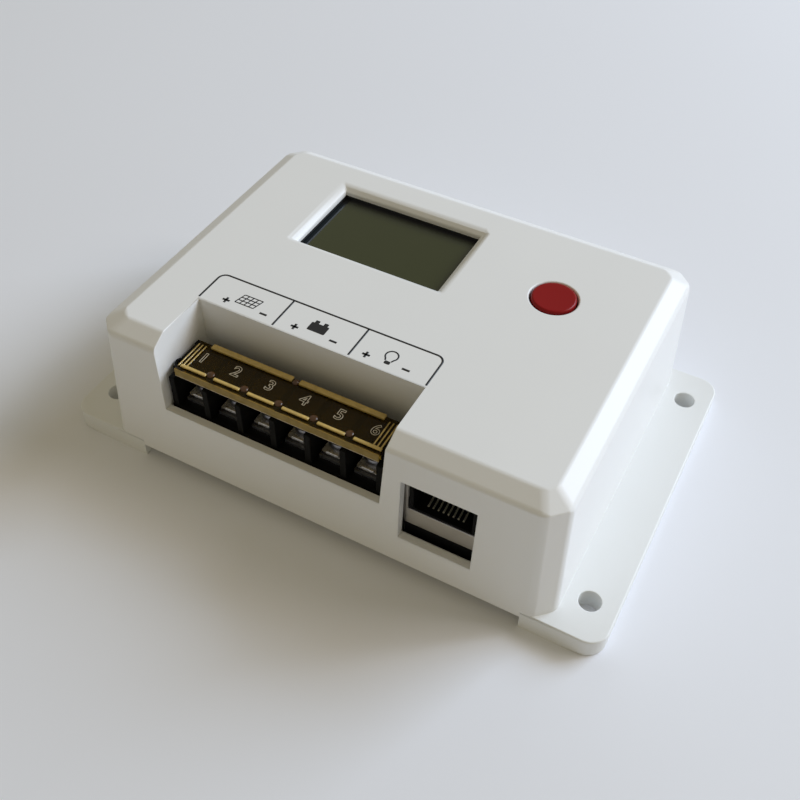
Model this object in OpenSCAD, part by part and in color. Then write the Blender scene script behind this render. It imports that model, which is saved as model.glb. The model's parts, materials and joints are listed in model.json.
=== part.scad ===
// Wall-mounted solar charge controller. A drafted plastic case stands on two flanged feet and
// holds a display, one push button, a six-way barrier terminal row under a clear strip, and a
// shielded eight-contact socket.
// X runs along the terminal side to the right, Y to the back and Z up from the feet.
// The origin is below the middle of the case, on the plane that the feet stand on. Millimetres.

/* [Case] */
// Length of the case at the foot of its walls
case_l = 100; // [98:1:124]
// Depth of the case at the foot of its walls
case_d = 75; // [74:1:92]
// Height of the top face above the standing plane
case_h = 34; // [33:0.5:42]
// How far each wall leans in from its foot to the top chamfer
draft = 1.5; // [0.5:0.1:2]
// Thickness of the side walls
wall = 1.7; // [1.4:0.1:2.1]
// Thickness of the top wall
top_t = 2; // [1.6:0.1:2.4]
// Height of the chamfer round the top face
chamfer_h = 2.1; // [1:0.1:2.5]
// Width of that chamfer, seen from above
chamfer_w = 3.75; // [2:0.05:4.5]
// Cut across each upright corner of the walls
corner_cut = 3.6; // [2:0.1:4.4]
// Cut across each corner of the top face
top_corner_cut = 1.8; // [1:0.1:2.2]

/* [Base] */
// How far each mounting flange stands out from the case
flange_w = 10; // [9:0.5:12]
// Thickness of the flanges and feet
flange_t = 4.5; // [4:0.1:5.4]
// Corner radius of the flanges
flange_r = 4; // [2:0.5:5]
// Clearance under the middle of the case
lift = 3; // [2.4:0.1:3.6]
// Thickness of the floor
floor_t = 2; // [1.7:0.1:2.4]
// How far the left foot reaches in under the case
left_foot_w = 9; // [6:0.5:14]
// How far the right foot reaches in under the case
right_foot_w = 5.8; // [5:0.1:14]
// Distance from a mounting hole to the flange's outer end
hole_edge = 5.5; // [4:0.1:6.6]
// Spacing of the mounting holes from front to back
hole_spacing_y = 58; // [48:1:64]
// Diameter of the mounting holes
hole_d = 4.3; // [3.5:0.1:5.2]

/* [Display] */
// Length of the window at the top face
window_l = 35.3; // [30:0.1:37]
// Depth of the window at the top face
window_d = 22.7; // [19:0.1:24]
// Middle of the window from the middle of the case, to the left
window_left = 11.6; // [10:0.1:13]
// Middle of the window from the middle of the case, to the back
window_back = 14.8; // [13:0.1:16]
// Bevel round the window
window_bevel = 1.25; // [0.8:0.05:1.5]
// Thickness of the glass cell
glass_t = 2.2; // [1.8:0.1:2.7]
// Thickness of the light guide behind the glass
guide_t = 3; // [2.5:0.1:3.6]

/* [Button] */
// Diameter of the button cap
button_d = 9.1; // [7.5:0.1:11]
// Middle of the button from the middle of the case, to the right
button_right = 26.2; // [25:0.1:28]
// Middle of the button from the middle of the case, to the back
button_back = 12.9; // [10:0.1:15]
// How far the cap stands above the top face
button_proud = 0.3; // [0.1:0.1:1]
// Travel of the button
button_travel = 0.4; // [0.25:0.05:0.5]

/* [Terminals] */
// Distance from one terminal to the next
pitch = 7.62; // [6.3:0.01:7.8]
// Middle of the terminal row from the middle of the case, to the left
row_left = 9.5; // [8.5:0.1:11]
// Depth of the terminal block
block_d = 10.3; // [10:0.1:12.3]
// Height of the terminal block above the board
block_h = 14.1; // [12.6:0.1:17]
// Height of the contact plates' bed above the board
bed_h = 5.3; // [4.5:0.1:6.3]
// Thickness of the barriers
barrier_t = 1.3; // [1:0.1:1.5]
// Gap between the block and each end of the recess, at its foot
row_gap = 0.24; // [0.2:0.02:0.5]
// How far each end of the recess leans in on its way down
recess_lean = 0.9; // [0.4:0.1:1]
// Gap between the block and the recess's back wall
recess_gap = 3.3; // [2:0.1:4]

/* [Socket] */
// Width of the shield
shield_w = 15.4; // [15:0.1:16.4]
// Height of the shield
shield_h = 13.1; // [12.8:0.1:15.8]
// Depth of the shield
shield_d = 15.9; // [14:0.1:18]
// Middle of the socket from the middle of the case, to the right
socket_right = 26; // [25.6:0.1:28]

/* [Board] */
// Height of the posts under the board
post_h = 5.4; // [5.2:0.1:6.5]
// Thickness of the board
board_t = 1.6; // [1.2:0.1:2]

/* [Hidden] */

$fn = 48;
skin = 0.01;      // thickness of the slices that a drafted solid is stretched over
cut = 1;          // how far a cut runs past the face that it opens
fit = 0.2;        // assembly gap between parts of the case
run = 0.1;        // radial gap of a screw in its thread, or a peg in its hole
loose = 0.3;      // radial gap of a screw or its head in a clearance hole
solder_pitch = 2.54;

// Levels, from the standing plane up
floor_top = lift + floor_t;
board_z = floor_top + post_h;
board_top = board_z + board_t;
chamfer_z = case_h - chamfer_h;
ceiling = case_h - top_t;
bed_z = board_top + bed_h;
block_top = board_top + block_h;
sill_z = bed_z - fit;

// Plan sizes of the case
top_l = case_l - 2 * draft - 2 * chamfer_w;
top_d = case_d - 2 * draft - 2 * chamfer_w;
overall_l = case_l + 2 * flange_w;
hole_x = overall_l / 2 - hole_edge;
left_foot_in = case_l / 2 - left_foot_w;
right_foot_in = case_l / 2 - right_foot_w;
hole_y = hole_spacing_y / 2;

// Terminal row
ways = 6;
row_x = -row_left;
row_y0 = -lean_y(sill_z) + wall + 0.4;
row_y1 = row_y0 + block_d;
row_mid_y = (row_y0 + row_y1) / 2;
bay_w = pitch - barrier_t;
block_l = ways * pitch + barrier_t + 0.4;
recess_l = block_l + 2 * (row_gap + recess_lean);
recess_y = row_y1 + recess_gap;
recess_low_z = board_top + 2.6;
tub_t = 1.4;
block_back_t = 1.3;
screw_head_r = bay_w / 2 - 0.71;
screw_head_h = 1.9;
screw_r = 4 / 7 * screw_head_r;
screw_y = row_y1 - block_back_t - screw_head_r - 0.35;
plate_t = 0.8;
plate_w = bay_w - 0.92;
plate_l = 6.9;
tail_w = 3.2;
tail_t = 0.8;
tail_y = row_y1 - block_back_t - 0.6;
clamp_z = bed_z + plate_t;
clamp_w = bay_w - 1.32;
clamp_l = 6.4;
clamp_lip_t = 0.6;
clamp_lip_h = 1.3;
peg_r = 0.65;
peg_h = 2.1;
peg_y = screw_y - 2.8;
peg_post_r = 1.2;
peg_post_h = 3.9;
strip_t = 0.8;
strip_d = 9;
strip_l = ways * pitch - 0.9;
strip_y1 = row_y1 - 0.6;
strip_y0 = strip_y1 - strip_d;
strip_skirt_t = 0.8;
strip_skirt_h = 1.1;

// Socket
shield_t = 0.35;
socket_x = socket_right;
socket_y0 = -lean_y(board_top + shield_h) + wall + 0.3;
socket_y1 = socket_y0 + shield_d;
socket_top = board_top + shield_h;
socket_band_h = 4.2;
cavity_w = 11.8;
cavity_h = 6.7;
cavity_d = 12;
latch_w = 6.4;
socket_open_w = 14.8;
socket_rim = 0.9;
cavity_z = board_top + socket_band_h + fit;
contacts = 8;
contact_pitch = 1.016;
contact_w = 0.36;

// Display stack, hung under the top wall
window_x = -window_left;
window_y = window_back;
view_l = window_l - 2 * window_bevel;
view_d = window_d - 2 * window_bevel;
gasket_t = 0.7;
film_t = 0.3;
film_edge = 2;
film_l = view_l + 2 * film_edge;
film_d = view_d + 2 * film_edge;
glass_l = view_l + 7;
glass_d = view_d + 7.6;
glass_top = ceiling - gasket_t - film_t;
glass_z = glass_top - glass_t;
guide_z = glass_z - film_t - guide_t;
holder_t = 1.3;
holder_l = glass_l + 2 * holder_t + 2 * fit;
holder_d = glass_d + 2 * holder_t + 2 * fit;

// Button and its switch
button_x = button_right;
button_y = button_back;
button_r = button_d / 2;
button_gap = 0.35;
collar_r = button_r + 0.95;
collar_t = 1.2;
collar_top = ceiling - 0.3;
guide_r = collar_r + 0.3;
guide_wall = 1.1;
guide_h = 5;
cap_stem_r = 2.2;
switch_w = 6;
switch_h = 3.4;
switch_top = board_top + switch_h;
plunger_r = 1.7;
plunger_top = switch_top + 1.8;
dome_r = plunger_r + 0.6;
dome_t = 0.3;
dome_z = board_top + 0.9;

// Fasteners
case_screw_x = case_l / 2 - 12;
case_screw_y = case_d / 2 - 6.5;
case_screw_grip = 9;
boss_r = 3;
boss_gap = 0.6;
boss_hole_end = 8;
thread_r = 1.25;
screw_shank_r = 1.15;
pan_head_r = 2.6;
pan_head_h = 1.5;
board_l = case_l - 2 * (wall + 1.8);
board_d = case_d - 2 * (wall + 2.8);
board_post_x = board_l / 2 - 3;
board_post_ys = [-14, 22];
board_post_r = 2.6;
board_screw_grip = 4;

// Power stage
sink_l = 62;
sink_d = 36;
sink_y = 12;
sink_rim = 2;
sink_rim_t = 1.6;
sink_z = floor_top - 1;
sink_top = sink_z + sink_rim_t;
sink_face_z = lift - 0.2;
fins = 11;
fin_h = 1.4;
sink_screw_r = 0.5;
sink_screw_x = sink_l / 2 - 1;
sink_screw_y = sink_d / 2 - 8;
pad_t = 0.2;
transistor_xs = [-22.5, -7.5, 7.5, 22.5];
transistor_y = 28;
transistor_l = 9;
tab_l = 15.2;
tab_w = 10;
tab_t = 1.3;
tab_z = sink_top + pad_t;
tab_hole_y = transistor_y - 2.8;
transistor_h = board_z - tab_z - fit;

// Places on the board, from the middle of the case
big_can_places = [[38.5, -6], [27, -6]];
small_can_place = [-41, 4];
inductor_place = [20, 26];
fuse_place = [0, -9];
diode_places = [[-27, -9], [-14, -9]];
shunt_places = [[0, -14.5], [0, -3.6]];
regulator_place = [16, -12];
small_chip_places = [[-26, 5.5], [-16, 5.5], [2, 5.5]];
crystal_place = [-26, 14];
buzzer_place = [39, 13];
sensor_place = [41, -22];

// Half depth of the outside wall at a height
function lean_y(z) = case_d / 2 - draft * (z - lift) / (chamfer_z - lift);

// Middle of terminal i, from 0 at the left
function way_x(i) = row_x + (i - (ways - 1) / 2) * pitch;

// Four places mirrored about the middle
module at_corners(x, y) {
    for (sx = [-1, 1], sy = [-1, 1]) translate([sx * x, sy * y, 0]) children();
}

// Same thing at each board post
module at_board_posts() {
    for (s = [-1, 1], y = board_post_ys) translate([s * board_post_x, y, 0]) children();
}

// Same thing at each of the heat sink's own screws
module at_sink_screws() {
    translate([0, sink_y, 0]) at_corners(sink_screw_x, sink_screw_y) children();
}

// Rectangle with its corners cut across
module cut_rectangle(l, d, c) {
    polygon([[-l / 2 + c, -d / 2], [l / 2 - c, -d / 2], [l / 2, -d / 2 + c], [l / 2, d / 2 - c],
        [l / 2 - c, d / 2], [-l / 2 + c, d / 2], [-l / 2, d / 2 - c], [-l / 2, -d / 2 + c]]);
}

module slice(l, d, c, z) {
    translate([0, 0, z]) linear_extrude(skin) cut_rectangle(l, d, c);
}

// Box from its low corner to its high corner
module span(low, high) {
    translate(low) cube(high - low);
}

// Box centred in plan, from z0 to z1
module post(x, y, l, d, z0, z1) {
    translate([x - l / 2, y - d / 2, z0]) cube([l, d, z1 - z0]);
}

module rod(x, y, r, z0, z1) {
    translate([x, y, z0]) cylinder(r = r, h = z1 - z0);
}

// Outside of the case, from the foot of the walls to the top face
module case_solid() {
    hull() {
        slice(case_l, case_d, corner_cut, lift);
        slice(case_l - 2 * draft, case_d - 2 * draft, corner_cut, chamfer_z - skin);
        slice(top_l, top_d, top_corner_cut, case_h - skin);
    }
}

// Hollow of the case: the outside less the walls and the top wall
module case_hollow() {
    inner_cut = corner_cut - wall / 2;
    top_in = wall * 0.8;
    hull() {
        slice(case_l - 2 * wall, case_d - 2 * wall, inner_cut, lift - cut);
        slice(case_l - 2 * draft - 2 * wall, case_d - 2 * draft - 2 * wall, inner_cut,
            ceiling - chamfer_h);
        slice(top_l - top_in, top_d - top_in, top_corner_cut, ceiling - skin);
    }
}

// Space of the terminal recess, with its leaning ends, between two depths and above z0
module recess_space(grow, y0, y1, z0) {
    half = recess_l / 2 + grow;
    z1 = case_h + cut;
    translate([row_x, y1, 0]) rotate([90, 0, 0]) linear_extrude(y1 - y0)
        polygon([[-half + recess_lean, z0], [half - recess_lean, z0], [half, z1], [-half, z1]]);
}

module window_cut() {
    translate([window_x, window_y, 0]) {
        hull() {
            slice(view_l, view_d, 0.3, case_h - window_bevel);
            slice(window_l, window_d, 0.3, case_h);
        }
        post(0, 0, view_l, view_d, ceiling - cut, case_h);
    }
}

module top_cover() {
    color([0.86, 0.87, 0.86]) difference() {
        union() {
            difference() {
                case_solid();
                case_hollow();
            }
            intersection() {
                case_solid();
                recess_space(tub_t, -case_d / 2, recess_y + tub_t, recess_low_z);
            }
            at_corners(case_screw_x, case_screw_y) rod(0, 0, boss_r, floor_top, ceiling + skin);
            rod(button_x, button_y, guide_r + guide_wall, ceiling - guide_h, ceiling + skin);
        }
        recess_space(0, -case_d, recess_y, sill_z);
        recess_space(0, -lean_y(sill_z) + wall, recess_y, recess_low_z - cut);
        window_cut();
        rod(button_x, button_y, button_r + button_gap, ceiling - cut, case_h + cut);
        rod(button_x, button_y, guide_r, ceiling - guide_h - cut, ceiling);
        span([socket_x - socket_open_w / 2, -case_d, board_top - 2],
            [socket_x + socket_open_w / 2, socket_y0, socket_top + 2 * fit]);
        at_corners(case_screw_x, case_screw_y)
            rod(0, 0, thread_r, floor_top - cut, ceiling - boss_hole_end);
        span([-overall_l, -case_d, 0], [-left_foot_in, case_d, flange_t]);
        span([right_foot_in, -case_d, 0], [overall_l, case_d, flange_t]);
    }
}

// One foot with its flange, from x0 inside to the outer end
module foot(x0) {
    x1 = overall_l / 2;
    d = case_d / 2;
    span([x0, -d, 0], [x1 - flange_r, d, flange_t]);
    span([x0, -d + flange_r, 0], [x1, d - flange_r, flange_t]);
    for (s = [-1, 1]) rod(x1 - flange_r, s * (d - flange_r), flange_r, 0, flange_t);
}

module base_plate() {
    sink_window_l = sink_l - 2 * sink_rim;
    sink_window_d = sink_d - 2 * sink_rim;
    color([0.84, 0.85, 0.84]) difference() {
        union() {
            translate([0, 0, lift]) linear_extrude(floor_t)
                cut_rectangle(case_l - 2 * wall - 2 * fit, case_d - 2 * wall - 2 * fit,
                    corner_cut - wall / 2);
            foot(right_foot_in);
            mirror([1, 0, 0]) foot(left_foot_in);
            at_board_posts() rod(0, 0, board_post_r, floor_top - skin, board_z);
        }
        at_corners(hole_x, hole_y) rod(0, 0, hole_d / 2, -cut, flange_t + cut);
        at_corners(case_screw_x, case_screw_y) rod(0, 0, thread_r + loose, -cut, floor_top + cut);
        at_corners(case_screw_x, case_screw_y) rod(0, 0, pan_head_r + loose, -cut, lift);
        at_board_posts() rod(0, 0, thread_r, floor_top, board_z + cut);
        post(0, sink_y, sink_window_l, sink_window_d, lift - cut, floor_top + cut);
        post(0, sink_y, sink_l + 2 * fit, sink_d + 2 * fit, sink_z, floor_top + cut);
        at_sink_screws() rod(0, 0, sink_screw_r + run, lift - cut, floor_top);
    }
}

// Cross-head screw whose head sits on the part at z, with its shank up for 1 or down for -1
module pan_screw(z, length, way) {
    slot_l = 3;
    slot_w = 0.6;
    slot_h = 0.8;
    translate([0, 0, z]) rotate([way > 0 ? 0 : 180, 0, 0]) difference() {
        union() {
            rod(0, 0, screw_shank_r, 0, length);
            rod(0, 0, pan_head_r, -pan_head_h, 0);
        }
        for (a = [0, 90]) rotate([0, 0, a])
            post(0, 0, slot_l, slot_w, -pan_head_h - cut, -pan_head_h + slot_h);
    }
}

module case_screws() {
    color([0.55, 0.56, 0.58]) at_corners(case_screw_x, case_screw_y)
        pan_screw(lift, floor_t + case_screw_grip, 1);
}

module heat_sink() {
    low_l = sink_l - 2 * sink_rim - 2 * fit;
    low_d = sink_d - 2 * sink_rim - 2 * fit;
    fin_pitch = low_l / fins;
    color([0.72, 0.73, 0.75]) difference() {
        union() {
            post(0, sink_y, sink_l, sink_d, sink_z, sink_top);
            post(0, sink_y, low_l, low_d, sink_face_z, sink_z + skin);
            for (i = [0 : fins - 1]) translate([(i - (fins - 1) / 2) * fin_pitch, sink_y, 0])
                post(0, 0, fin_pitch / 2, low_d, sink_face_z - fin_h, sink_face_z + skin);
        }
        for (x = transistor_xs) rod(x, tab_hole_y, thread_r, lift, sink_top + cut);
        at_sink_screws() rod(0, 0, sink_screw_r + run, 0, sink_top + cut);
    }
}

module heat_sink_screws() {
    color([0.6, 0.61, 0.62]) at_sink_screws() {
        rod(0, 0, sink_screw_r, lift + fit, sink_top);
        rod(0, 0, 2 * sink_screw_r, sink_top, sink_top + 0.8);
    }
}

module thermal_pads() {
    edge = 0.5;
    color([0.62, 0.66, 0.7]) for (x = transistor_xs) difference() {
        post(x, transistor_y - tab_l / 2, tab_w + 2 * edge, tab_l + edge, sink_top, tab_z);
        rod(x, tab_hole_y, thread_r + loose, sink_top - cut, tab_z + cut);
    }
}

module power_transistors() {
    body_y = transistor_y - tab_l;
    leg_w = 0.8;
    leg_t = 0.6;
    leg_l = 3;
    leg_z = tab_z + 2;
    color([0.13, 0.13, 0.14]) for (x = transistor_xs) difference() {
        union() {
            post(x, transistor_y - tab_l / 2, tab_w, tab_l, tab_z, tab_z + tab_t);
            post(x, body_y + transistor_l / 2, tab_w, transistor_l, tab_z, tab_z + transistor_h);
            for (i = [-1, 0, 1]) {
                post(x + i * solder_pitch, body_y - leg_l / 2 + 0.3, leg_w, leg_l, leg_z, leg_z + leg_t);
                post(x + i * solder_pitch, body_y - leg_l + leg_t, leg_w, leg_t, leg_z, board_z);
            }
        }
        rod(x, tab_hole_y, thread_r + loose, tab_z - cut, tab_z + tab_t + cut);
    }
}

module transistor_screws() {
    grip = 2.6;
    color([0.6, 0.61, 0.62]) for (x = transistor_xs) translate([x, tab_hole_y, 0])
        pan_screw(tab_z + tab_t, grip, -1);
}

module main_board() {
    color([0.06, 0.3, 0.16]) difference() {
        translate([0, 0, board_z]) linear_extrude(board_t)
            cut_rectangle(board_l, board_d, corner_cut);
        at_corners(case_screw_x, case_screw_y)
            rod(0, 0, boss_r + boss_gap, board_z - cut, board_top + cut);
        at_corners(case_screw_x, board_d / 2)
            post(0, 0, 2 * (boss_r + boss_gap), board_d - 2 * case_screw_y,
                board_z - cut, board_top + cut);
        at_board_posts() rod(0, 0, thread_r + loose, board_z - cut, board_top + cut);
    }
}

module board_screws() {
    color([0.6, 0.61, 0.62]) at_board_posts() pan_screw(board_top, board_t + board_screw_grip, -1);
}

// Base, back wall and seven barriers, each with a post that takes one of the strip's pegs
module terminal_block() {
    shaft_end = bed_z - 3.6;
    color([0.05, 0.05, 0.05]) difference() {
        union() {
            post(row_x, row_mid_y, block_l, block_d, board_top, bed_z);
            span([row_x - block_l / 2, row_y1 - block_back_t, board_top],
                [row_x + block_l / 2, row_y1, block_top]);
            for (i = [0 : ways]) {
                x = way_x(i - 0.5);
                post(x, row_mid_y, barrier_t, block_d, bed_z - skin, block_top);
                rod(x, peg_y, peg_post_r, block_top - peg_post_h, block_top);
            }
        }
        span([row_x - block_l, row_y0 - cut, block_top - strip_skirt_h - fit],
            [row_x + block_l, strip_y0 + strip_skirt_t + fit, block_top + cut]);
        for (i = [0 : ways])
            rod(way_x(i - 0.5), peg_y, peg_r + run, block_top - peg_h - 0.5, block_top + cut);
        for (i = [0 : ways - 1]) {
            rod(way_x(i), screw_y, screw_r + loose, shaft_end, bed_z + cut);
            post(way_x(i), tail_y, tail_w + run, tail_t + 2 * run, board_top - cut, bed_z + cut);
        }
    }
}

// Tapped plates on the bed, each with a soldered tail that goes down to the board
module terminal_contacts() {
    back_y = row_y1 - block_back_t;
    color([0.78, 0.76, 0.7]) for (i = [0 : ways - 1]) difference() {
        union() {
            span([way_x(i) - plate_w / 2, back_y - plate_l, bed_z],
                [way_x(i) + plate_w / 2, back_y, clamp_z]);
            post(way_x(i), tail_y, tail_w, tail_t, board_top, clamp_z);
        }
        rod(way_x(i), screw_y, screw_r + run, bed_z - cut, clamp_z + cut);
    }
}

// Wire clamp of terminal i: a plate with its front lip turned up under the screw head
module terminal_clamp(i) {
    front = screw_y - clamp_l / 2 - 0.6;
    x0 = way_x(i) - clamp_w / 2;
    x1 = way_x(i) + clamp_w / 2;
    color([0.75, 0.75, 0.74]) difference() {
        union() {
            span([x0, front, clamp_z], [x1, screw_y + screw_head_r, clamp_z + plate_t]);
            span([x0, front, clamp_z], [x1, front + clamp_lip_t, clamp_z + clamp_lip_h]);
        }
        rod(way_x(i), screw_y, screw_r + run, clamp_z - cut, clamp_z + plate_t + cut);
    }
}

// Terminal screw i, with a slot right across its head and a shorter one across that
module terminal_screw(i) {
    z = clamp_z + plate_t;
    head_z = z + screw_head_h;
    slot_w = 0.7;
    slot_h = 0.9;
    short_slot_l = 3.2;
    color([0.8, 0.8, 0.8]) translate([way_x(i), screw_y, 0]) difference() {
        union() {
            rod(0, 0, screw_r, bed_z - 3.2, z + skin);
            rod(0, 0, screw_head_r, z, head_z);
        }
        post(0, 0, 2 * screw_head_r + cut, slot_w, head_z - slot_h, head_z + cut);
        post(0, 0, slot_w, short_slot_l, head_z - slot_h, head_z + cut);
    }
}

// Clear strip that presses on the barriers, with its skirt, ribs, back ridge and pegs
module terminal_cover() {
    x0 = row_x - strip_l / 2;
    x1 = row_x + strip_l / 2;
    top = block_top + strip_t;
    rib_l = pitch - 1.8;
    rib_h = 0.5;
    ridge_in = 3.2;
    ridge_d = 1.3;
    ridge_h = 0.6;
    ridge_notch = 1.6;
    line_w = 0.35;
    line_h = 0.3;
    line_pitch = 0.8;
    color([0.75, 0.5, 0.15, 0.7]) difference() {
        union() {
            span([x0, strip_y0, block_top], [x1, strip_y1, top]);
            span([x0, strip_y0, block_top - strip_skirt_h],
                [x1, strip_y0 + strip_skirt_t, block_top + skin]);
            span([x0 + ridge_in, strip_y1 - ridge_d, top - skin],
                [x1 - ridge_in, strip_y1, top + ridge_h]);
            for (i = [0 : ways - 1])
                post(way_x(i) + 0.4, strip_y0 + 1.25, rib_l, 0.7, top - skin, top + rib_h);
            for (i = [0 : 2], s = [-1, 1])
                post(row_x + s * (strip_l / 2 - line_pitch * (i + 0.5)), (strip_y0 + strip_y1) / 2,
                    line_w, strip_d - 2, top - skin, top + line_h);
            for (i = [0 : ways])
                if (abs(way_x(i - 0.5) - row_x) < strip_l / 2 - peg_r)
                    rod(way_x(i - 0.5), peg_y, peg_r, block_top - peg_h, block_top + skin);
        }
        post(row_x, strip_y1, ridge_notch, 2 * ridge_d + fit, top, top + cut);
    }
}

// Folded can, open below, with a window for the socket's mouth
module socket_shield() {
    w = shield_w / 2;
    t = shield_t;
    open_z = board_top + socket_band_h;
    color([0.72, 0.72, 0.72]) difference() {
        span([socket_x - w, socket_y0, board_top], [socket_x + w, socket_y1, socket_top]);
        span([socket_x - w + t, socket_y0 + t, board_top - cut],
            [socket_x + w - t, socket_y1 - t, socket_top - t]);
        span([socket_x - w + socket_rim, socket_y0 - cut, open_z],
            [socket_x + w - socket_rim, socket_y0 + t + cut, socket_top - socket_rim]);
        post(socket_x, socket_y0, latch_w + 1.6, 2 * t + fit, open_z, socket_top - t);
    }
}

module socket_housing() {
    w = shield_w / 2 - shield_t;
    y0 = socket_y0 + shield_t;
    latch_back = 3;
    color([0.04, 0.04, 0.04]) difference() {
        span([socket_x - w, y0, board_top], [socket_x + w, socket_y1 - shield_t, socket_top - shield_t]);
        span([socket_x - cavity_w / 2, y0 - cut, cavity_z],
            [socket_x + cavity_w / 2, y0 + cavity_d, cavity_z + cavity_h]);
        span([socket_x - latch_w / 2, y0 - cut, cavity_z + cavity_h - cut],
            [socket_x + latch_w / 2, y0 + cavity_d - latch_back, socket_top - shield_t - 2 * fit]);
    }
}

// Sprung wires that slope up from the cavity's front edge to its back
module socket_contacts() {
    y0 = socket_y0 + shield_t;
    y1 = y0 + cavity_d;
    rise = 2.8;
    color([0.8, 0.68, 0.35]) for (i = [0 : contacts - 1])
        translate([socket_x + (i - (contacts - 1) / 2) * contact_pitch - contact_w / 2, 0, 0])
            rotate([90, 0, 90]) linear_extrude(contact_w)
                polygon([[y0 + 1.4, cavity_z], [y0 + 2.6, cavity_z],
                    [y1, cavity_z + rise], [y1, cavity_z + rise + 0.4]]);
}

module display_gasket() {
    color([0.06, 0.06, 0.06]) translate([window_x, window_y, ceiling - gasket_t]) difference() {
        linear_extrude(gasket_t) square([film_l, film_d], center = true);
        translate([0, 0, -cut]) linear_extrude(gasket_t + 2 * cut)
            square([view_l + fit, view_d + fit], center = true);
    }
}

module film(z) {
    post(window_x, window_y, film_l, film_d, z, z + film_t);
}

module front_polariser() {
    color([0.28, 0.29, 0.2]) film(glass_top);
}

module display_glass() {
    color([0.7, 0.75, 0.72, 0.6]) post(window_x, window_y, glass_l, glass_d, glass_z, glass_top);
}

module rear_polariser() {
    color([0.4, 0.42, 0.36]) film(glass_z - film_t);
}

module light_guide() {
    color([0.9, 0.92, 0.95])
        post(window_x, window_y, film_l, film_d - 1, guide_z, guide_z + guide_t);
}

// Open frame round the glass, standing on the board, with a ledge each side for the light guide
module display_holder() {
    ledge = (glass_l + 2 * fit - film_l) / 2 + 1.5;
    ledge_t = 1.4;
    corner_l = 6;
    opening_z0 = board_top + 3;
    opening_z1 = guide_z - 3;
    color([0.92, 0.92, 0.9]) difference() {
        union() {
            difference() {
                post(window_x, window_y, holder_l, holder_d, board_top, glass_top - 2 * fit);
                post(window_x, window_y, holder_l - 2 * holder_t, holder_d - 2 * holder_t,
                    board_top - cut, glass_top + cut);
            }
            for (s = [-1, 1])
                post(window_x + s * (holder_l / 2 - holder_t - ledge / 2 + skin), window_y,
                    ledge, view_d, guide_z - ledge_t, guide_z);
        }
        post(window_x, window_y, holder_l - 2 * corner_l, holder_d + 2 * cut, opening_z0, opening_z1);
        post(window_x, window_y, holder_l + 2 * cut, holder_d - 2 * corner_l, opening_z0, opening_z1);
    }
}

module display_pins() {
    pins = 12;
    pin_r = 0.25;
    y = window_y - glass_d / 2 + 0.9;
    color([0.75, 0.75, 0.72]) for (i = [0 : pins - 1])
        rod(window_x + (i - (pins - 1) / 2) * solder_pitch, y, pin_r, board_top, glass_z);
}

// Cap with a rounded rim, a collar that stops it under the top wall, and a stem on the plunger
module button_cap() {
    top = case_h + button_proud;
    edge = 0.5;
    color([0.5, 0.1, 0.1]) translate([button_x, button_y, 0])
        rotate_extrude() polygon([[0, plunger_top], [cap_stem_r, plunger_top],
            [cap_stem_r, collar_top - collar_t], [collar_r, collar_top - collar_t],
            [collar_r, collar_top], [button_r, collar_top], [button_r, top - edge],
            for (a = [15 : 15 : 75])
                [button_r - edge + edge * cos(a), top - edge + edge * sin(a)],
            [button_r - edge, top], [0, top]]);
}

module switch_plunger() {
    color([0.1, 0.1, 0.1]) rod(button_x, button_y, plunger_r,
        dome_z + dome_t + button_travel + skin, plunger_top);
}

module switch_body() {
    color([0.12, 0.12, 0.12]) difference() {
        post(button_x, button_y, switch_w, switch_w, board_top, switch_top);
        rod(button_x, button_y, dome_r + run, dome_z, switch_top + cut);
    }
}

module switch_cover() {
    color([0.75, 0.75, 0.76]) difference() {
        post(button_x, button_y, switch_w + fit, switch_w + fit, switch_top, switch_top + dome_t);
        rod(button_x, button_y, plunger_r + fit, switch_top - cut, switch_top + cut);
    }
}

module switch_dome() {
    color([0.8, 0.78, 0.7]) rod(button_x, button_y, dome_r, dome_z, dome_z + dome_t);
}

// Electrolytic can with its rolled groove
module can(place, r, h) {
    groove = 0.4;
    groove_z = 1.6;
    translate([place[0], place[1], board_top]) rotate_extrude()
        polygon([[0, 0], [r, 0], [r, groove_z], [r - groove, groove_z + groove],
            [r - groove, groove_z + 2 * groove], [r, groove_z + 3 * groove], [r, h],
            [r - groove, h + groove], [0, h + groove]]);
}

module capacitors() {
    color([0.12, 0.14, 0.2]) {
        for (place = big_can_places) can(place, 5, 16);
        can(small_can_place, 4, 12);
    }
}

module inductor() {
    core_r = 6;
    bore_r = 2.4;
    core_h = 7;
    color([0.25, 0.22, 0.2]) translate([inductor_place[0], inductor_place[1], 0]) difference() {
        rod(0, 0, core_r, board_top, board_top + core_h);
        rod(0, 0, bore_r, board_top - cut, board_top + core_h + cut);
    }
}

// Blade fuse that stands on two soldered blades
module battery_fuse() {
    blade_h = 1;
    blade_x = 4;
    color([0.85, 0.6, 0.1]) translate([fuse_place[0], fuse_place[1], 0]) {
        post(0, 0, 11, 4, board_top + blade_h, board_top + 9);
        for (s = [-1, 1]) post(s * blade_x, 0, 1.6, 0.7, board_top, board_top + blade_h + skin);
    }
}

// Lying round bodies with their legs bent down to the board
module diodes() {
    body_r = 2.5;
    body_l = 9;
    leg_l = 1.5;
    leg_w = 0.8;
    axis_z = board_top + body_r + run;
    color([0.1, 0.1, 0.1]) for (place = diode_places) translate([place[0], place[1], 0]) {
        translate([-body_l / 2, 0, axis_z]) rotate([0, 90, 0]) cylinder(r = body_r, h = body_l);
        for (s = [-1, 1]) {
            post(s * (body_l + leg_l) / 2, 0, leg_l + 2 * skin, leg_w,
                axis_z - leg_w / 2, axis_z + leg_w / 2);
            post(s * (body_l / 2 + leg_l - leg_w / 2), 0, leg_w, leg_w, board_top, axis_z);
        }
    }
}

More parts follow.
